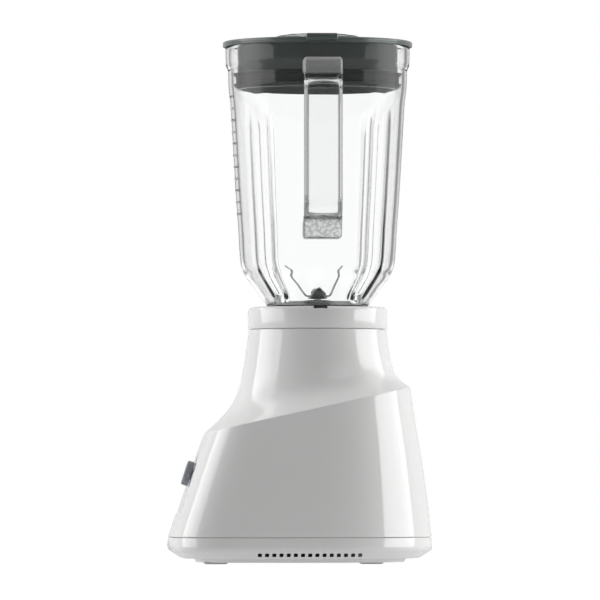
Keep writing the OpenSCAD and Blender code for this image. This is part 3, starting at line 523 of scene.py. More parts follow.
# ---- outline of the base
CREASE_Z = 98.0
CREASE_SLOPE = 0.221
FRONT_LEAN, REAR_LEAN, SIDE_LEAN = 0.36, 0.145, 0.155
FRONT_POWER, REAR_POWER = 5.0, 2.5
NECK_LEAN = 0.125
DECK_TOP, DECK_LOW = 164.0, 161.0
LIP_Z, TILT = 38.0, 18.0


def crown(z):
    """The faces swell a little between the seam and the crease."""
    swell, height = 0.8, 90
    return swell * sind(180 * clamp((z - SEAM_Z) / height))


def rise(z):
    """Height over the seam."""
    return max(z - SEAM_Z, 0)


def front_face(z):
    return -REAR_Y + FRONT_LEAN * rise(z) - crown(z)


def back_face(z):
    return REAR_Y - REAR_LEAN * rise(z) + crown(z)


def side_face(z):
    return SIDE_X - SIDE_LEAN * rise(z) + crown(z)


LIP_Y = front_face(LIP_Z) + 1.9


def panel_y(z):
    """The flat panel's plane above its lip, and the lip's underside below."""
    return LIP_Y + tan(radians(TILT)) * (z - LIP_Z) if z > LIP_Z else LIP_Y - 0.65 * (LIP_Z - z)


def base_point(t, z, inset=0.0):
    """The outline's point at t degrees: a rounded square, squarer in front than behind."""
    a = side_face(z) - inset
    b = (back_face(z) - front_face(z)) / 2 - inset
    centre_y = (back_face(z) + front_face(z)) / 2
    power = REAR_POWER if sind(t) > 0 else FRONT_POWER
    r = (abs(cosd(t) / a) ** power + abs(sind(t) / b) ** power) ** (-1 / power)
    return Vector((r * cosd(t), centre_y + r * sind(t), z))


@lru_cache(maxsize=None)
def crease_at(t, inset=0.0):
    """Where the base's face at t degrees meets the crease, which slants up to the rear."""
    z = CREASE_Z
    for _ in range(8):
        p = base_point(t, z, inset)
        z = CREASE_Z + CREASE_SLOPE * (p.y - front_face(CREASE_Z)) - inset
    return base_point(t, z, inset)


@lru_cache(maxsize=None)
def knee_at(t, inset=0.0):
    """Where the leaning neck meets the shoulder's straight run to the crease."""
    share, more_behind = 0.73, 0.05
    drop = (share + more_behind * sind(t)) * (NECK_Z - crease_at(t).z)
    r = NECK_R + NECK_LEAN * drop - inset
    return polar(r, t, NECK_Z - drop - 0.6 * inset)


def shoulder_at(t, s, inset=0.0, end_r=NECK_R, end_z=NECK_Z):
    """The shoulder's curve from the crease, at s 0, past the knee to the neck, at s 1."""
    crease_pull, neck_pull = 0.91, 1.05
    p0 = crease_at(t, inset)
    p3 = polar(end_r, t, end_z)
    knee = knee_at(t, inset)
    p1 = p0 + crease_pull * (knee - p0)
    p2 = p3 + neck_pull * (knee - p3)
    u = 1 - s
    return u**3 * p0 + 3 * u * u * s * p1 + 3 * u * s * s * p2 + s**3 * p3


def housing_rings(n):
    """Loops of points over the housing: up the outside, over the neck and deck, and down the inside."""
    chamfer, crease_cut = 0.45, 0.55
    neck_in, bore_r, boss_r, boss_top, floor_r = 47.2, 11, 13.5, 168, 46.5
    turns = around(n)
    creases = [crease_at(t) for t in turns]
    inner = [crease_at(t, WALL) for t in turns]
    rings = [[base_point(t, SEAM_Z, chamfer) for t in turns]]
    for s in [i / 20 for i in range(20)] + [0.985, 0.995, 1.0]:
        rings.append(
            [base_point(t, lerp(SEAM_Z + chamfer, c.z - crease_cut, s)) for t, c in zip(turns, creases)]
        )
    for k in (0.25, 0.5, 0.75, 1.0):  # the crease, slightly rounded
        ring = []
        for t, c in zip(turns, creases):
            a = base_point(t, c.z - crease_cut)
            b = shoulder_at(t, 0.006)
            ring.append((1 - k) ** 2 * a + 2 * k * (1 - k) * c + k * k * b)
        rings.append(ring)
    for s in [0.0075, 0.0105] + [lerp(0.016, 0.9972, i / 46) for i in range(47)]:
        rings.append([shoulder_at(t, s) for t in turns])
    top = fillet(
        [
            (NECK_R - 0.42, NECK_Z), (neck_in, NECK_Z), (neck_in, DECK_TOP), (boss_r, DECK_TOP),
            (boss_r, boss_top), (bore_r, boss_top), (bore_r, DECK_LOW), (floor_r, DECK_LOW),
        ],
        0.5, 3, closed=False,
    )
    for r, z in top:
        rings.append([polar(r, t, z) for t in turns])
    for s in (0.985, 0.9, 0.75, 0.6, 0.45, 0.3, 0.15, 0.0):
        rings.append([shoulder_at(t, s, WALL, NECK_R - WALL, DECK_TOP) for t in turns])
    for s in (0.8, 0.55, 0.3, 0.1, 0.0):
        rings.append([base_point(t, lerp(SEAM_Z, c.z, s), WALL) for t, c in zip(turns, inner)])
    return rings


KNOB_Z = 66.6
PANEL = Matrix.Translation((0, panel_y(KNOB_Z), KNOB_Z)) @ Matrix.Rotation(radians(90 - TILT), 4, "X")
GLAND_Z = 36
GLAND = Matrix.Translation((0, back_face(GLAND_Z), GLAND_Z)) @ Matrix.Rotation(
    radians(-90) + atan(REAR_LEAN), 4, "X"
)


def panel_cut():
    """The wedge in front of the flat panel and its lip."""
    low, high, past_front, past_side = 28, 104, -140, 120
    side = [(panel_y(low), low), (LIP_Y, LIP_Z), (panel_y(high), high), (past_front, high), (past_front, low)]
    return swept([[(x, y, z) for y, z in side] for x in (-past_side, past_side)])


def housing():
    """The shell with its flat panel, key slots, plunger bore and the recesses of gland and dial."""
    obj = make("motor_housing_shell", *skin(housing_rings(320), closed=True))
    cuts = [panel_cut()]
    for k in range(4):  # slots for the collar's keys
        cuts.append(box_mesh((46, -3.3, 165), (49.1, 3.3, 178), matrix=spin(45 + 90 * k)))
    plunger = spin(112) @ Matrix.Translation((44.6, 0, 0))
    plunger_bore = cylinder_mesh(2.3, DECK_LOW - 1, DECK_TOP + 2, 32, plunger)
    gland_recess = cylinder_mesh(8.25, -2.4, 5, 96, GLAND)
    dial_recess = cylinder_mesh(16.65, -0.8, 4, 128, PANEL)
    boolean(obj, gather("housing_cuts", cuts + [plunger_bore, gland_recess]))
    boolean(obj, gather("housing_pocket", [dial_recess]))
    return tidy(obj, 27)


def cool_panel(mat, color):
    """Tints the flat control panel, a plane that leans back from its lip, a little darker and cooler."""
    lean = tan(radians(TILT))
    tree = mat.node_tree
    m = Maths(tree)
    y, z = axes(tree, coords(tree))[1:]
    off = m("ADD", m("MULTIPLY", z, -lean), m("SUBTRACT", y, (LIP_Y - lean * LIP_Z) * MM))
    mask = m("MULTIPLY", m.ramp(off, 0.3 * MM, 0.15 * MM), m.ramp(z, (LIP_Z - 0.3) * MM, LIP_Z * MM))
    socket = tree.nodes["Principled BSDF"].inputs["Base Color"]
    feed(tree, socket, tint(tree, mask, socket.links[0].from_socket, color))


cool_panel(BY_SLOT["housing_white"], (0.72, 0.735, 0.775))
dress(housing(), "base", "housing_white", "motor_housing")


# ---- bottom cover and feet
COVER_LOW, COVER_FLOOR = 1.2, 3.6
FEET = ("foot_front_left", "foot_front_right", "foot_rear_left", "foot_rear_right")
HOLE_R = 3.6


def cover_rows(n):
    """Underside, chamfer, side, tongue and inner floor, as loops set in from the base's outline."""
    middle_inset = 60.0
    outer = fillet(
        [
            (20.6, COVER_LOW), (19.2, 4.0), (9.4, 4.0), (6.9, 5.6), (0.3, 10.0), (-0.4, 12.6), (0.1, 19.7),
            (2.9, 19.7), (2.9, 23.0), (4.7, 23.0), (4.0, 11.0), (11.3, 6.4), (22.0, 6.4), (24.0, COVER_FLOOR),
        ],
        0.5, 3, closed=False, special={2: 3.0, 3: 3.5, 4: 3.0, 5: 2.0, 6: 0.45},
    )
    rows = [[(0, 0, COVER_LOW)]]
    for inset, z in [(middle_inset, COVER_LOW)] + outer + [(middle_inset, COVER_FLOOR)]:
        rows.append([(p.x, p.y, z) for p in (base_point(t, SEAM_Z, inset) for t in around(n))])
    return rows + [[(0, 0, COVER_FLOOR)]]


def bottom_cover():
    """A shallow pan with vents in both sides, air slots, and holes for its screws and the feet."""
    obj = make("bottom_cover_shell", *skin(cover_rows(320)))
    cuts = []
    vents, pitch, vent_y, half_w, low, high = 15, 5.3, 3.6, 1.5, 5.6, 8.2
    for left, right in ((-110, -82), (82, 110)):
        for i in range(vents):
            y = (i - vents // 2) * pitch + vent_y
            cuts.append(box_mesh((left, y - half_w, low), (right, y + half_w, high), 0.5, 2))
    slots = 20
    for k in range(slots):  # air slots in a ring under the fan
        cuts.append(box_mesh((15.2, -1.3, 0), (33.2, 1.3, 8), 0.6, 2, matrix=spin(360 / slots * k)))
    for t in (35, 145, 215, 325):  # recesses for the cover's screws
        p = base_point(t, SEAM_Z, 24)
        cuts.append(cylinder_mesh(HOLE_R, 0, 5.2, 40, Matrix.Translation((p.x, p.y, 0))))
    for name in FEET:  # holes for the stems of the feet
        place = Matrix.Translation((middle(name, X), middle(name, Y), 0))
        cuts.append(cylinder_mesh(HOLE_R, 0, 8, 40, place))
    boolean(obj, gather("cover_cuts", cuts))
    return tidy(obj, 30)


dress(bottom_cover(), "base", "housing_white", "bottom_cover")


def foot(name):
    """A rubber pad with a groove round its sole, and a stem that presses into the cover."""
    obj = lathe(
        "rubber_" + name,
        [
            (0, 0), (3.2, 0), (3.6, 0.35), (5.4, 0.35), (5.8, 0), (7.6, 0), (9, 0.7), (8.8, 1.2), (3.4, 1.2),
            (3.4, 4.0), (2.4, 5.0), (0, 5.0),
        ],
        n=72, radius=0.15, seg=3, matrix=Matrix.Translation((middle(name, X), middle(name, Y), 0)),
    )
    return dress(obj, "base", "foot_rubber", name)


for name in FEET:
    foot(name)


# ---- dial, knob and gland
PLATE_R = extent("dial_plate", X)[1]
KNOB_R = extent("control_knob", X)[1]


def dial_angle(k):
    """The direction of the dial's mark k. The marks lie 10 degrees apart, from the knob's lower limit."""
    lowest, pitch = -100, 10
    return 90 - (lowest + pitch * k)


def dial_digit(k, text):
    """A digit beside mark k, in raised print."""
    size, thick, place_r, height = 2.3, 0.06, 13.75, -0.14
    curve = bpy.data.curves.new("dial_number_" + text, "FONT")
    curve.body = text
    curve.size = size * MM
    curve.align_x = "CENTER"
    curve.align_y = "CENTER"
    curve.extrude = thick * MM
    label = linked("dial_number_" + text, curve)
    a = dial_angle(k)
    place = PANEL @ Matrix.Translation((place_r * cosd(a), place_r * sind(a), height))
    place.translation *= MM
    label.matrix_world = place
    bpy.context.view_layer.update()
    solid = label.evaluated_get(bpy.context.evaluated_depsgraph_get())
    mesh = bpy.data.meshes.new_from_object(solid)
    mesh.transform(label.matrix_world)
    bpy.data.objects.remove(label)
    digit = linked("dial_digit_" + text, mesh)
    dress(digit, "base", "dial_silver", material=dial_print)


def dial():
    """A turned metal disc with printed marks and digits."""
    plate = lathe(
        "dial_disc",
        [(4.9, -0.78), (PLATE_R, -0.78), (PLATE_R, -0.02), (15.4, -0.02), (15.0, -0.18), (4.9, -0.18)],
        n=128, radius=0.18, seg=3, matrix=PANEL,
    )
    dress(plate, "base", "dial_silver", "dial_plate")
    parts = []
    for k in range(15):
        turn = PANEL @ Matrix.Rotation(radians(dial_angle(k)), 4, "Z")
        start = 11.7 if k % 2 else 11.0
        parts.append(box_mesh((start, -0.2, -0.2), (12.6, 0.2, -0.08), 0.04, 1, matrix=turn))
    marks = gather("dial_marks", parts)
    tidy(marks)
    dress(marks, "base", "dial_silver", material=dial_print)
    for k, text in ((10, "0"), (7, "1"), (4, "2"), (1, "3"), (13, "4")):
        dial_digit(k, text)


dial()


def knob():
    """A round knob with fine grooves down its side, a stem and a white pointer."""
    n, grooves, deep, groove_low, groove_high = 240, 30, 0.32, 0.7, 5.1
    side = [
        (0.0, 0.35), (8.7, 0.35), (9.15, 0.5), (KNOB_R, 0.95), (KNOB_R, 2.4), (9.36, 3.9), (9.25, 4.8),
        (8.95, 5.35), (8.4, 5.6), (7.2, 5.6), (6.9, 5.42), (0.0, 5.42),
    ]
    rows = []
    for r, z in side:
        if r == 0:
            rows.append([(0, 0, z)])
            continue
        grooved = groove_low < z < groove_high and r > 9
        row = []
        for a in [2 * pi * j / n for j in range(n)]:
            reach = r - (deep * max(0.0, cos(grooves * a)) ** 2 if grooved else 0.0)
            row.append((reach * cos(a), reach * sin(a), z))
        rows.append(row)
    stem = cylinder_mesh(3.0, -12, 0.8, 48)
    obj = gather("knob_body", [skin(rows), stem], PANEL)
    dress(tidy(obj, 40), "knob", "knob_grey", "control_knob")
    pointer = gather("knob_pointer", [box_mesh((-0.55, 2.2, 5.2), (0.55, 8.4, 5.58), 0.12, 2)], PANEL)
    dress(tidy(pointer), "knob", "dial_silver", material=BY_SLOT["housing_white"])


knob()

gland = lathe(
    "cord_gland_body",
    [
        (3.5, -11.4), (7.7, -11.4), (7.7, -5.8), (6.1, -5.8), (6.1, -2.3), (8.1, -2.3), (8.1, -0.1),
        (5.2, -0.1), (4.2, -0.4), (3.5, -1.1),
    ],
    n=96, radius=0.3, matrix=GLAND,
)
dress(gland, "base", "black_plastic", "cord_gland")


# ---- collar
def collar():
    """A flanged ring with a skirt that turns over the neck, and four keys inside the skirt."""
    flange_z, flange_r, shelf_z = 181.8, 40.5, 189
    ring = lathe(
        "jug_collar_ring",
        [
            (29, flange_z), (flange_r, flange_z), (flange_r, shelf_z), (43.9, shelf_z), (43.9, COLLAR_LOW),
            (46.9, COLLAR_LOW), (46.9, shelf_z), (49.7, shelf_z), (49.7, 175.5), (COLLAR_R, 175.5),
            (COLLAR_R, 189.4), (51.4, 191.4), (49.3, COLLAR_TOP), (38.7, COLLAR_TOP), (37.7, 191.4),
            (37.7, 184.4), (29, 184.4),
        ],
        n=256, special={10: 2.2, 11: 2.2, 12: 2.5},
    )
    keys = [box_mesh((46.0, -3, 168), (48.8, 3, 174), 0.4, 2, matrix=spin(45 + 90 * k)) for k in range(4)]
    merge(ring, gather("collar_keys", keys))
    dress(tidy(ring), "jug", "collar_white", "jug_collar")


def collar_painted_reflection():
    """A small black block in the collar's top edge, under the handle: a painted reflection of the jug's dark
    bottom, seen in a notch of the collar.
    """
    # painted reflection: black plastic stands in for the jug's dark bottom reflected in the collar's notch
    painted_reflection_block = box_mesh((49.0, -5.2, 189.8), (51.95, 5.2, 191.95), 0.6, 2, matrix=spin(0))
    dress(tidy(gather("jug_collar_painted_reflection", [painted_reflection_block])), "jug", "black_plastic")


collar()
collar_painted_reflection()


# ---- jug
JUG_OUT = [
    (37.4, 188.4), (37.4, 190.6), (37.4, 192.4), (38.6, 193.6), (41.5, 197.8), (47.9, 206.8),
    (54.3, 215.6), (56.6, 220.8), (58.1, 227.4), (59.6, 251.4), (61.2, 273.4), (63.5, 311.4),
    (64.6, 331.4), (65.5, 345.4), (66.8, 356.4), (67.3, 369.4), (67.5, 370.2), (68.8, 373.4),
    (69.0, 374.4), (RIM_R, 387.2),
]
NECK_WALL, CONE_WALL, SIDE_WALL = 5.9, 4.42, 3.4
HANDLE_TOP, HANDLE_LOW = 375.0, 241.0
TOP_ARM, LOW_ARM, GRIP, HANDLE_HALF = 14, 17, 11.5, 14.25


def curve_through(points, step):
    """Catmull-Rom curve through 2-D points, with about step mm between samples."""
    least = 1e-6
    out = []
    last = len(points) - 1
    for i in range(last):
        p0, p1, p2, p3 = (Vector(points[clamp(k, 0, last)]) for k in (i - 1, i, i + 1, i + 2))
        length = (p2 - p1).length
        count = max(1, round(length / step))
        t1 = (p2 - p0) * (length / max((p2 - p0).length, least)) if i else (p2 - p1)
        t2 = (p3 - p1) * (length / max((p3 - p1).length, least)) if i < last - 1 else (p2 - p1)
        for s in [k / count for k in range(count)]:
            h1 = 2 * s**3 - 3 * s * s + 1
            h2 = s**3 - 2 * s * s + s
            h3 = -2 * s**3 + 3 * s * s
            h4 = s**3 - s * s
            out.append(tuple(h1 * p1 + h2 * t1 + h3 * p2 + h4 * t2))
    out.append(tuple(points[-1]))
    return out


def jug_r(z):
    """The jug's outer radius at a height, without flutes and spout."""
    for (r0, z0), (r1, z1) in zip(JUG_OUT, JUG_OUT[1:]):
        if z0 <= z <= z1:
            return lerp(r0, r1, (z - z0) / (z1 - z0))
    return RIM_R


def wall_at(z):
    """The jug's wall, measured across the axis: thick in the neck and the cone, thinner up the side."""
    if z < 216:
        return lerp(NECK_WALL, CONE_WALL, clamp((z - 193) / 1.5))
    return lerp(CONE_WALL, SIDE_WALL, smooth((z - 215.6) / 6))


def flute(t, z):
    """How far the four flutes pull the wall in at t degrees."""
    deep, half_turn = 5.5, 11
    near = abs((t % 90) - 45)
    if near >= half_turn:
        return 0.0
    share = smooth((z - 195.4) / 8) * smooth((352 - z) / 30)
    return deep * share * cosd(90 * near / half_turn) ** 2


def spout(t, z):
    """How far the spout, opposite the handle, pushes the rim out at t degrees."""
    reach, half_turn, low = 7, 26, 370
    off = abs(t - 180)
    if off >= half_turn:
        return 0.0
    return reach * cosd(90 * off / half_turn) ** 2 * smooth((z - low) / (RIM_Z - low))


def jug_ring(r, z, n):
    """A loop of n points round the jug, with its flutes and spout."""
    return [polar(r - flute(t, z) + spout(t, z), t, z) for t in around(n)]


def handle_solid():
    """A rounded C in the XZ plane. Its edges at the fingers' side are broadly chamfered."""
    inside, low = HANDLE_X - GRIP, HANDLE_LOW
    outer = [
        (66.2, HANDLE_TOP), (HANDLE_X, HANDLE_TOP), (HANDLE_X, low + 24), (HANDLE_X - 12, low), (57.6, low),
    ]
    gap = [
        (57.9, low + LOW_ARM), (inside - 7, low + LOW_ARM), (inside, low + 29),
        (inside, HANDLE_TOP - TOP_ARM), (64.0, HANDLE_TOP - TOP_ARM),
    ]
    ring = fillet(outer, 8, 8, closed=False)
    path = ring + fillet(gap, 12, 10, closed=False)
    n = len(path)
    sides = (AXIS_Y - HANDLE_HALF, AXIS_Y + HANDLE_HALF)
    obj = make("handle_solid", *swept([[(x, y, z) for x, z in path] for y in sides]))
    bm = bmesh.new()
    bm.from_mesh(obj.data)
    bmesh.ops.recalc_face_normals(bm, faces=bm.faces)
    bm.verts.ensure_lookup_table()
    ends = ({0, n - 1}, {len(ring) - 1, len(ring)})  # where the arms run into the jug
    outer_edges, inner_edges = [], []
    for e in bm.edges:
        i, j = (v.index for v in e.verts)
        across = (i < n) != (j < n)
        if across or {i % n, j % n} in ends:
            continue
        (outer_edges if max(i % n, j % n) < len(ring) else inner_edges).append(e)
    bevel(bm, inner_edges, 4.6 * MM, 1)
    bevel(bm, [e for e in outer_edges if e.is_valid], 2.4 * MM, 5)
    bm.to_mesh(obj.data)
    bm.free()
    return obj


def frost_and_painted_reflection_on_arms(mat):
    """The handle's arms are moulded with a fine texture; the lower one is coarser, and its grey flecks are
    partly that texture and partly a painted reflection of the dark surroundings in its rippled face.
    """
    rough, low_haze, top_haze, flecks = 0.3, 0.1, 0.24, 420.0
    low_top, top_low = HANDLE_LOW + LOW_ARM, HANDLE_TOP - TOP_ARM
    tree = mat.node_tree
    bsdf = tree.nodes["Principled BSDF"]
    m = Maths(tree)
    v = coords(tree)
    x, _, z = axes(tree, v)
    arm = m.ramp(x, (RIM_R + 0.8) * MM, (RIM_R + 2.8) * MM)
    low = m.times(arm, m.ramp(z, (low_top + 0.2) * MM, (low_top - 1.5) * MM))
    top = m.times(arm, m.ramp(z, (top_low + 0.5) * MM, (top_low + 2.5) * MM))
    feed(tree, bsdf.inputs["Roughness"], m("ADD", m.times(low, rough), m.times(top, rough)))
    haze = m("ADD", m.times(low, low_haze), m.times(top, top_haze))
    feed(tree, bsdf.inputs["Transmission Weight"], m("SUBTRACT", 1.0, haze))
    # painted reflection: the lower arm's grey flecks stand partly for its moulded texture, partly for the
    # dark surroundings that its rippled face reflects
    grey_flecks_and_painted_reflection = tint(tree, m.ramp(noise(tree, v, flecks), 0.4, 0.62), (0.24, 0.25, 0.25), (0.56, 0.57, 0.57))
    socket = bsdf.inputs["Base Color"]
    feed(tree, socket, tint(tree, low, socket.links[0].from_socket, grey_flecks_and_painted_reflection))


def jug():
    """Outside, rim and inside in one closed surface, with the handle joined on."""
    n = 288
    out = curve_through(JUG_OUT, 2.2)
    rings = [jug_ring(r, z, n) for r, z in out]
    for inset, drop in ((0.25, 0.25), (0.8, 0), (1.7, 0), (2.6, 0), (3.15, 0.25)):
        rings.append(jug_ring(RIM_R - inset, RIM_Z - drop, n))
    rings += [jug_ring(r - wall_at(z), z, n) for r, z in reversed(out)]
    obj = make("jug_body", *skin(rings, closed=True))
    boolean(obj, handle_solid(), "UNION")
    dress(tidy(obj, 50), "jug", "jug_clear", "jug")


def graduations():
    """Raised measuring marks on the jug's front, at the knob's side: long and short by turns."""
    first, pitch, steps, start = 262.0, 8.8, 10, 2.0
    section = ((-0.35, -0.7), (0.45, -0.45), (0.62, 0.0), (0.45, 0.45), (-0.35, 0.7))
    parts = []
    for k in range(11):
        z = first + pitch * k
        r = jug_r(z)
        long = 6.4 if k % 2 else 10.8
        rows = []
        for i in range(steps + 1):
            a = radians(-90) + lerp(start, start + long, i / steps) / r
            rows.append([((r + out) * cos(a), AXIS_Y + (r + out) * sin(a), z + up) for out, up in section])
        parts.append(swept(rows))
    dress(tidy(gather("jug_marks", parts), 50), "jug", "jug_clear")


frost_and_painted_reflection_on_arms(BY_SLOT["jug_clear"])
jug()
graduations()


# ---- blade unit
holder = lathe(
    "blade_holder_body",
    [
        (5.2, 179.2), (9, 179.2), (10, 181.8), (10, 184.4), (35.4, 184.4), (35.4, 186.9), (31.2, 186.9),
        (31.2, 193.2), (27.8, 196.6), (14.5, 196.6), (13.5, 196.0), (11.6, 196.0), (11, 196.6), (9, 197.8),
        (5.2, 197.8),
    ],
    n=128, radius=0.35,
)
dress(holder, "jug", "screw_steel", "blade_holder", material=turned_steel)


def wing(angle, tip, thick):
    """Verts and faces of one wing: flat from the middle, bent up by angle, then straight out to tip."""
    flat, bend_r, bend_steps, straight_steps = 7.4, 2.6, 10, 12
    root_half, tip_low, tip_high, ground = 5.8, -1.4, 1.0, 0.15
    bend = radians(angle)
    line = [(0.0, 0.0, 0.0), (flat, 0.0, 0.0)]
    y, z = flat, 0.0
    for k in range(1, bend_steps + 1):
        slope = bend * k / bend_steps
        along = bend * bend_r / bend_steps
        y += along * cos(slope - bend / bend_steps / 2)
        z += along * sin(slope - bend / bend_steps / 2)
        line.append((y, z, slope))
    length = (tip - y - 0.4) / cos(bend)
    for k in range(1, straight_steps + 1):
        out = length * k / straight_steps
        line.append((y + out * cos(bend), z + out * sin(bend), bend))
    rows = []
    for i, (y, z, slope) in enumerate(line):
        s = clamp((i - bend_steps - 1) / straight_steps)
        low = lerp(-root_half, tip_low, smooth((s - 0.35) / 0.65))
        high = lerp(root_half, tip_high, s**1.5)
        under, over = [], []
        for u in (0.0, 0.16, 0.5, 0.84, 1.0):
            x = lerp(low, high, u)
            edge = ground if u in (0.0, 1.0) and s > 0 else 1.0
            for points, off in ((under, -thick / 2), (over, thick / 2 * edge)):
                points.append((x, y - off * sin(slope), z + off * cos(slope) + thick / 2))
        rows.append(under + over[::-1])
    return swept(rows)


def blade(name, z0, turn, wings, replaced):
    """A pressed steel blade: flat hub and two bent wings, given as (bend, tip), with ground edges."""
    thick, hub_r = 1.3, 7.2
    parts = []
    for half_turn, (angle, tip) in zip((0, 180), wings):
        verts, faces = wing(angle, tip, thick)
        rot = Matrix.Rotation(radians(half_turn), 4, "Z")
        parts.append(([rot @ Vector(v) for v in verts], faces))
    sheet = gather(name, parts, spin(turn) @ Matrix.Translation((0, 0, z0)))
    hub = lathe(name + "_hub", [(0, z0), (hub_r, z0), (hub_r, z0 + thick), (0, z0 + thick)], n=48, radius=0.2)
    dress(tidy(merge(sheet, hub), 30), "blades", "blade_steel", replaced)


def dome_nut():
    """A dome nut: turned round, then its lower part is pressed in to six flats."""
    flat_r, round_r, flats_top = 4.85, 5.0, 205.0
    nut = lathe(
        "blade_dome_nut",
        [
            (0, 201.8), (5.4, 201.8), (5.4, 204.6), (4.7, 205.2), (4.2, 205.2), (3.7, 206.4), (2.4, 207.0),
            (0, 207.2),
        ],
        n=6 * 12,
    )
    for v in nut.data.vertices:
        x, y = v.co.x, v.co.y - AXIS_Y * MM
        r = sqrt(x * x + y * y)
        if v.co.z < flats_top * MM and r > round_r * MM:
            a = (atan2(y, x) + 2 * pi) % (pi / 3) - pi / 6
            k = flat_r * MM / cos(a) / r
            v.co.x, v.co.y = x * k, y * k + AXIS_Y * MM
    dress(tidy(nut, 25), "blades", "screw_steel", "blade_nut", material=nut_steel)


blade("blade_sheet_lower", 199.2, 90, ((14, 25), (22, 25)), "lower_blade")
blade("blade_sheet_upper", 200.5, 0, ((66, 19), (54, 25)), "upper_blade")
dome_nut()


# ---- lid, seal and cup
LID_LOW, TAB_TOP = extent("lid", Z)
TAB_X = extent("lid", X)[1]
SEAL_LOW, SEAL_TOP = extent("lid_seal", Z)
CUP_LOW, CUP_TOP = extent("measuring_cup", Z)
CUP_R = extent("measuring_cup", X)[1]


def lid_edge():
    """The rim's down-turned edge, open at the spout."""
    n, half_turn, low, inner_r, outer_r = 200, 148, 387.5, 69.9, 71.25
    line = fillet(
        [
            (inner_r, 388.8), (inner_r, low), (outer_r, low), (outer_r, 390.4), (70.6, 391.0),
            (inner_r, 391.0),
        ],
        0.5, 3,
    )
    turns = [lerp(-half_turn, half_turn, j / n) for j in range(n + 1)]
    return swept([[polar(r, t, z) for r, z in line] for t in turns])


def lid():
    """A dish with a skirt in the jug and a hole for the cup, and a thumb tab over the handle."""
    top, under = 391.6, 388.0
    ring = lathe(
        "lid_body",
        [
            (60.2, LID_LOW), (60.2, 388.3), (70.4, 388.3), (71.3, 388.9), (71.3, 390.6), (70.3, top),
            (58.8, top), (57.8, 390.6), (57.0, under), (32.8, under), (32.0, top), (27.0, top),
            (27.0, 379.0), (29.4, 379.0), (29.4, 385.6), (57.8, 385.6), (57.8, LID_LOW),
        ],
        n=256, radius=0.35, seg=3, special={3: 0.9, 4: 1.0, 5: 1.2, 6: 0.8, 7: 1.0, 8: 1.0},
    )
    tab = box_mesh((59.8, AXIS_Y - 12, 388.35), (TAB_X, AXIS_Y + 12, TAB_TOP), 1.6, 4)
    parts = [tab, lid_edge()]
    for k in range(4):  # ribs on the tab, for the thumb
        x = 66.5 + 2.9 * k
        low, high = (x - 0.5, AXIS_Y - 9, TAB_TOP - 0.4), (x + 0.5, AXIS_Y + 9, TAB_TOP)
        parts.append(box_mesh(low, high, 0.18, 2))
    merge(ring, gather("lid_extra", parts))
    dress(tidy(ring), "lid", "lid_grey", "lid")


lid()

lower_lip, upper_lip = (jug_r(z) - SIDE_WALL - 0.5 for z in (358.1, 366.1))
seal = lathe(
    "lid_seal_ring",
    [
        (60.25, SEAL_LOW), (61.0, SEAL_LOW), (lower_lip, 358.6), (lower_lip, 359.2), (61.2, 359.8),
        (61.2, 364.4), (upper_lip, 366.6), (upper_lip, 367.2), (61.0, SEAL_TOP), (60.25, SEAL_TOP),
    ],
    n=256, radius=0.25,
)
dress(seal, "lid", "seal_rubber", "lid_seal")

cup = lathe(
    "measuring_cup_body",
    [
        (0, CUP_TOP), (24.0, CUP_TOP), (25.0, 396.0), (29.6, 396.0), (CUP_R, 395.4), (CUP_R, 393.0),
        (30.4, 392.2), (26.4, 392.2), (25.4, CUP_LOW), (23.4, CUP_LOW), (24.3, 394.8), (0, 394.8),
    ],
    radius=0.5, special={3: 1.0, 4: 1.2, 10: 2.0},
)
dress(cup, "cup", "cup_clear", "measuring_cup")


# ---- world, floor and camera
BESIDE = (78, 86, 118, 126)  # the pale windows' soft borders, in degrees from +X to either side


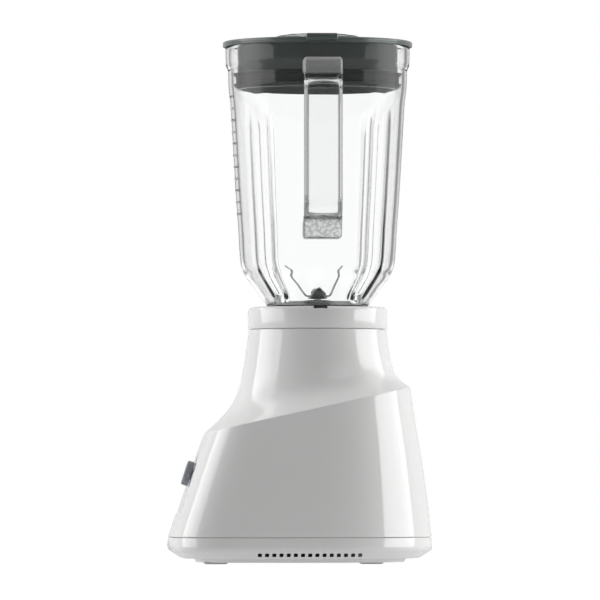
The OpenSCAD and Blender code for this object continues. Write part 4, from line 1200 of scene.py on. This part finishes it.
def studio_world():
    """White for the camera. A soft box stands at each side; the room is pale behind the object, at -X, and
    dim on the handle's side, with one faint strip of light. Through clear pieces a white backdrop shows
    right behind the object, with a pale window at each side and grey between them."""
    backdrop_level, window_level, gap_level, box_through = 1.12, 0.9, 0.3, 0.45
    pale_room, dim_room, ground, mirrored_behind, border = 0.75, 0.12, 0.25, 0.2, 0.02
    low_box, upper_box, mirrored_box = (3.1, 5.0), (1.8, 1.3), (1.4, 1.0)  # at the knob's side, at the back
    world = bpy.data.worlds.new("studio")
    scene.world = world
    world.use_nodes = True
    tree = world.node_tree
    tree.nodes.clear()
    m = Maths(tree)
    x, y, z = axes(tree, add(tree, "TexCoord").outputs["Generated"])
    side = m("ABSOLUTE", y)
    turn = m.turn(x, y)
    angle = m("ABSOLUTE", turn)
    back = m.ramp(y, -0.1, 0.1)  # 0 at the knob's side, 1 at the back

    def beyond(a, b, c, edge):
        """1 where a x + b |y| + c z is over edge, with a narrow soft border."""
        total = m("ADD", m("ADD", m.times(x, a), m.times(side, b)), m.times(z, c))
        return m.ramp(total, edge - border, edge + border)

    top_edge = m.ramp(m("SUBTRACT", z, m.mix(back, 0.81, 0.91)), border, -border)
    box = m.times(
        beyond(-0.76, 0.57, -0.32, 0.1), beyond(0.90, -0.12, 0.42, -0.40), top_edge, m.ramp(side, 0.1, 0.16)
    )
    low_level = m.mix(m.ramp(angle, 80, 90), m.mix(back, *low_box), 4.1)
    box_level = m.mix(m.ramp(z, 0.38, 0.7), low_level, m.mix(back, *upper_box))
    strip = m.times(m.window(turn, 2, 14, 46, 54), m.window(z, 0.42, 0.6, 0.85, 0.9))
    front = m("ADD", strip, m.ramp(z, 0.35, 0.5, 0.0, dim_room))
    room = m.mix(m.ramp(angle, 84, 96), front, pale_room)
    room = m.mix(m.ramp(z, -0.25, -0.2), ground, room)
    studio = m.mix(box, room, box_level)

    backdrop = m.times(m.ramp(angle, 152, 162), m.ramp(z, -0.5, -0.3))
    beside = m.mix(m.window(angle, *BESIDE), m.mix(box, gap_level, box_through), window_level)
    seen_through = m.mix(backdrop, beside, backdrop_level)

    # bare reflections on the clear pieces show the boxes softer, as boxes near the base would
    mirrored_room = m.mix(m.ramp(angle, 130, 145), room, mirrored_behind)
    mirrored = m.mix(box, mirrored_room, m.mix(back, *mirrored_box))

    path = add(tree, "LightPath")
    level = m.mix(path.outputs["Is Singular Ray"], studio, mirrored)
    level = m.mix(path.outputs["Is Transmission Ray"], level, seen_through)
    level = m.mix(path.outputs["Is Camera Ray"], level, 1.0)
    light = add(tree, "Background")
    feed(tree, light.inputs["Color"], (1, 1, 1))
    feed(tree, light.inputs["Strength"], level)
    out = add(tree, "OutputWorld")
    feed(tree, out.inputs["Surface"], light.outputs[0])


def floor_material():
    """Pale for the camera; else a soft grey that glows a little round the base. In the sharp reflections
    and refractions of clear pieces it carries on the backdrop behind the object, and is pale beside it."""
    camera_level, backdrop_level, pale, between, grey = 0.85, 1.1, 0.9, 0.3, 0.35
    glow_near, glow_far = 0.42, 0.21
    mat = bpy.data.materials.new("studio_floor")
    mat.use_nodes = True
    tree = mat.node_tree
    tree.nodes.clear()
    m = Maths(tree)
    path = add(tree, "LightPath")
    x, y = axes(tree, add(tree, "TexCoord").outputs["Object"])[:2]
    turn = m("ABSOLUTE", m.turn(x, y))
    far = m("SQRT", m("ADD", m("POWER", x, 2), m("POWER", y, 2)))
    bare = path.outputs["Is Singular Ray"]
    diffuse = add(tree, "BsdfDiffuse")
    feed(tree, diffuse.inputs["Color"], m.mix(bare, grey, 0.0))
    behind = m.times(m.ramp(turn, 148, 158), m.ramp(far, 0.45, 0.6))
    pale_part = m("MAXIMUM", m.window(turn, *BESIDE), m.ramp(far, 0.4, 0.32))
    bare_level = m.mix(behind, m.mix(pale_part, between, pale), backdrop_level)
    level = m.mix(bare, m.ramp(far, 0.15, 0.115, glow_far, glow_near), bare_level)
    level = m.mix(path.outputs["Is Camera Ray"], level, camera_level)
    glow = add(tree, "Emission")
    feed(tree, glow.inputs["Strength"], level)
    both = add(tree, "AddShader")
    feed(tree, both.inputs[0], diffuse.outputs[0])
    feed(tree, both.inputs[1], glow.outputs[0])
    out = add(tree, "OutputMaterial")
    feed(tree, out.inputs["Surface"], both.outputs[0])
    return mat


def floor():
    """A plain square just under the feet, wide enough to have no edge in view."""
    half, count, z = 7000, 8, -0.02
    line = [lerp(-half, half, i / count) for i in range(count + 1)]
    verts = [(x, y, z) for x in line for y in line]
    step = count + 1
    faces = [
        (i * step + j, (i + 1) * step + j, (i + 1) * step + j + 1, i * step + j + 1)
        for i in range(count) for j in range(count)
    ]
    obj = make("studio_floor", verts, faces)
    obj.data.materials.append(floor_material())


def camera():
    """A long lens far off the handle's side, a little towards the front and low down."""
    distance, azimuth, height = 5.2, 87.6, 0.06
    data = bpy.data.cameras.new("photo_camera")
    cam = linked("photo_camera", data)
    place = Vector((distance * sind(azimuth), -distance * cosd(azimuth), height))
    aim = Vector((0.0, 0.0, 0.1976))
    cam.location = place
    cam.rotation_euler = (aim - place).to_track_quat("-Z", "Y").to_euler()
    data.lens = 415.5
    data.sensor_width = 36.0
    data.clip_end = 50.0
    scene.camera = cam


studio_world()
floor()
camera()

bounces = 20  # enough for light to pass the jug's and the handle's walls
scene.cycles.max_bounces = bounces
scene.cycles.transmission_bounces = bounces
scene.cycles.transparent_max_bounces = bounces
scene.cycles.caustics_refractive = True
scene.view_settings.view_transform = "Standard"
scene.view_settings.look = "None"
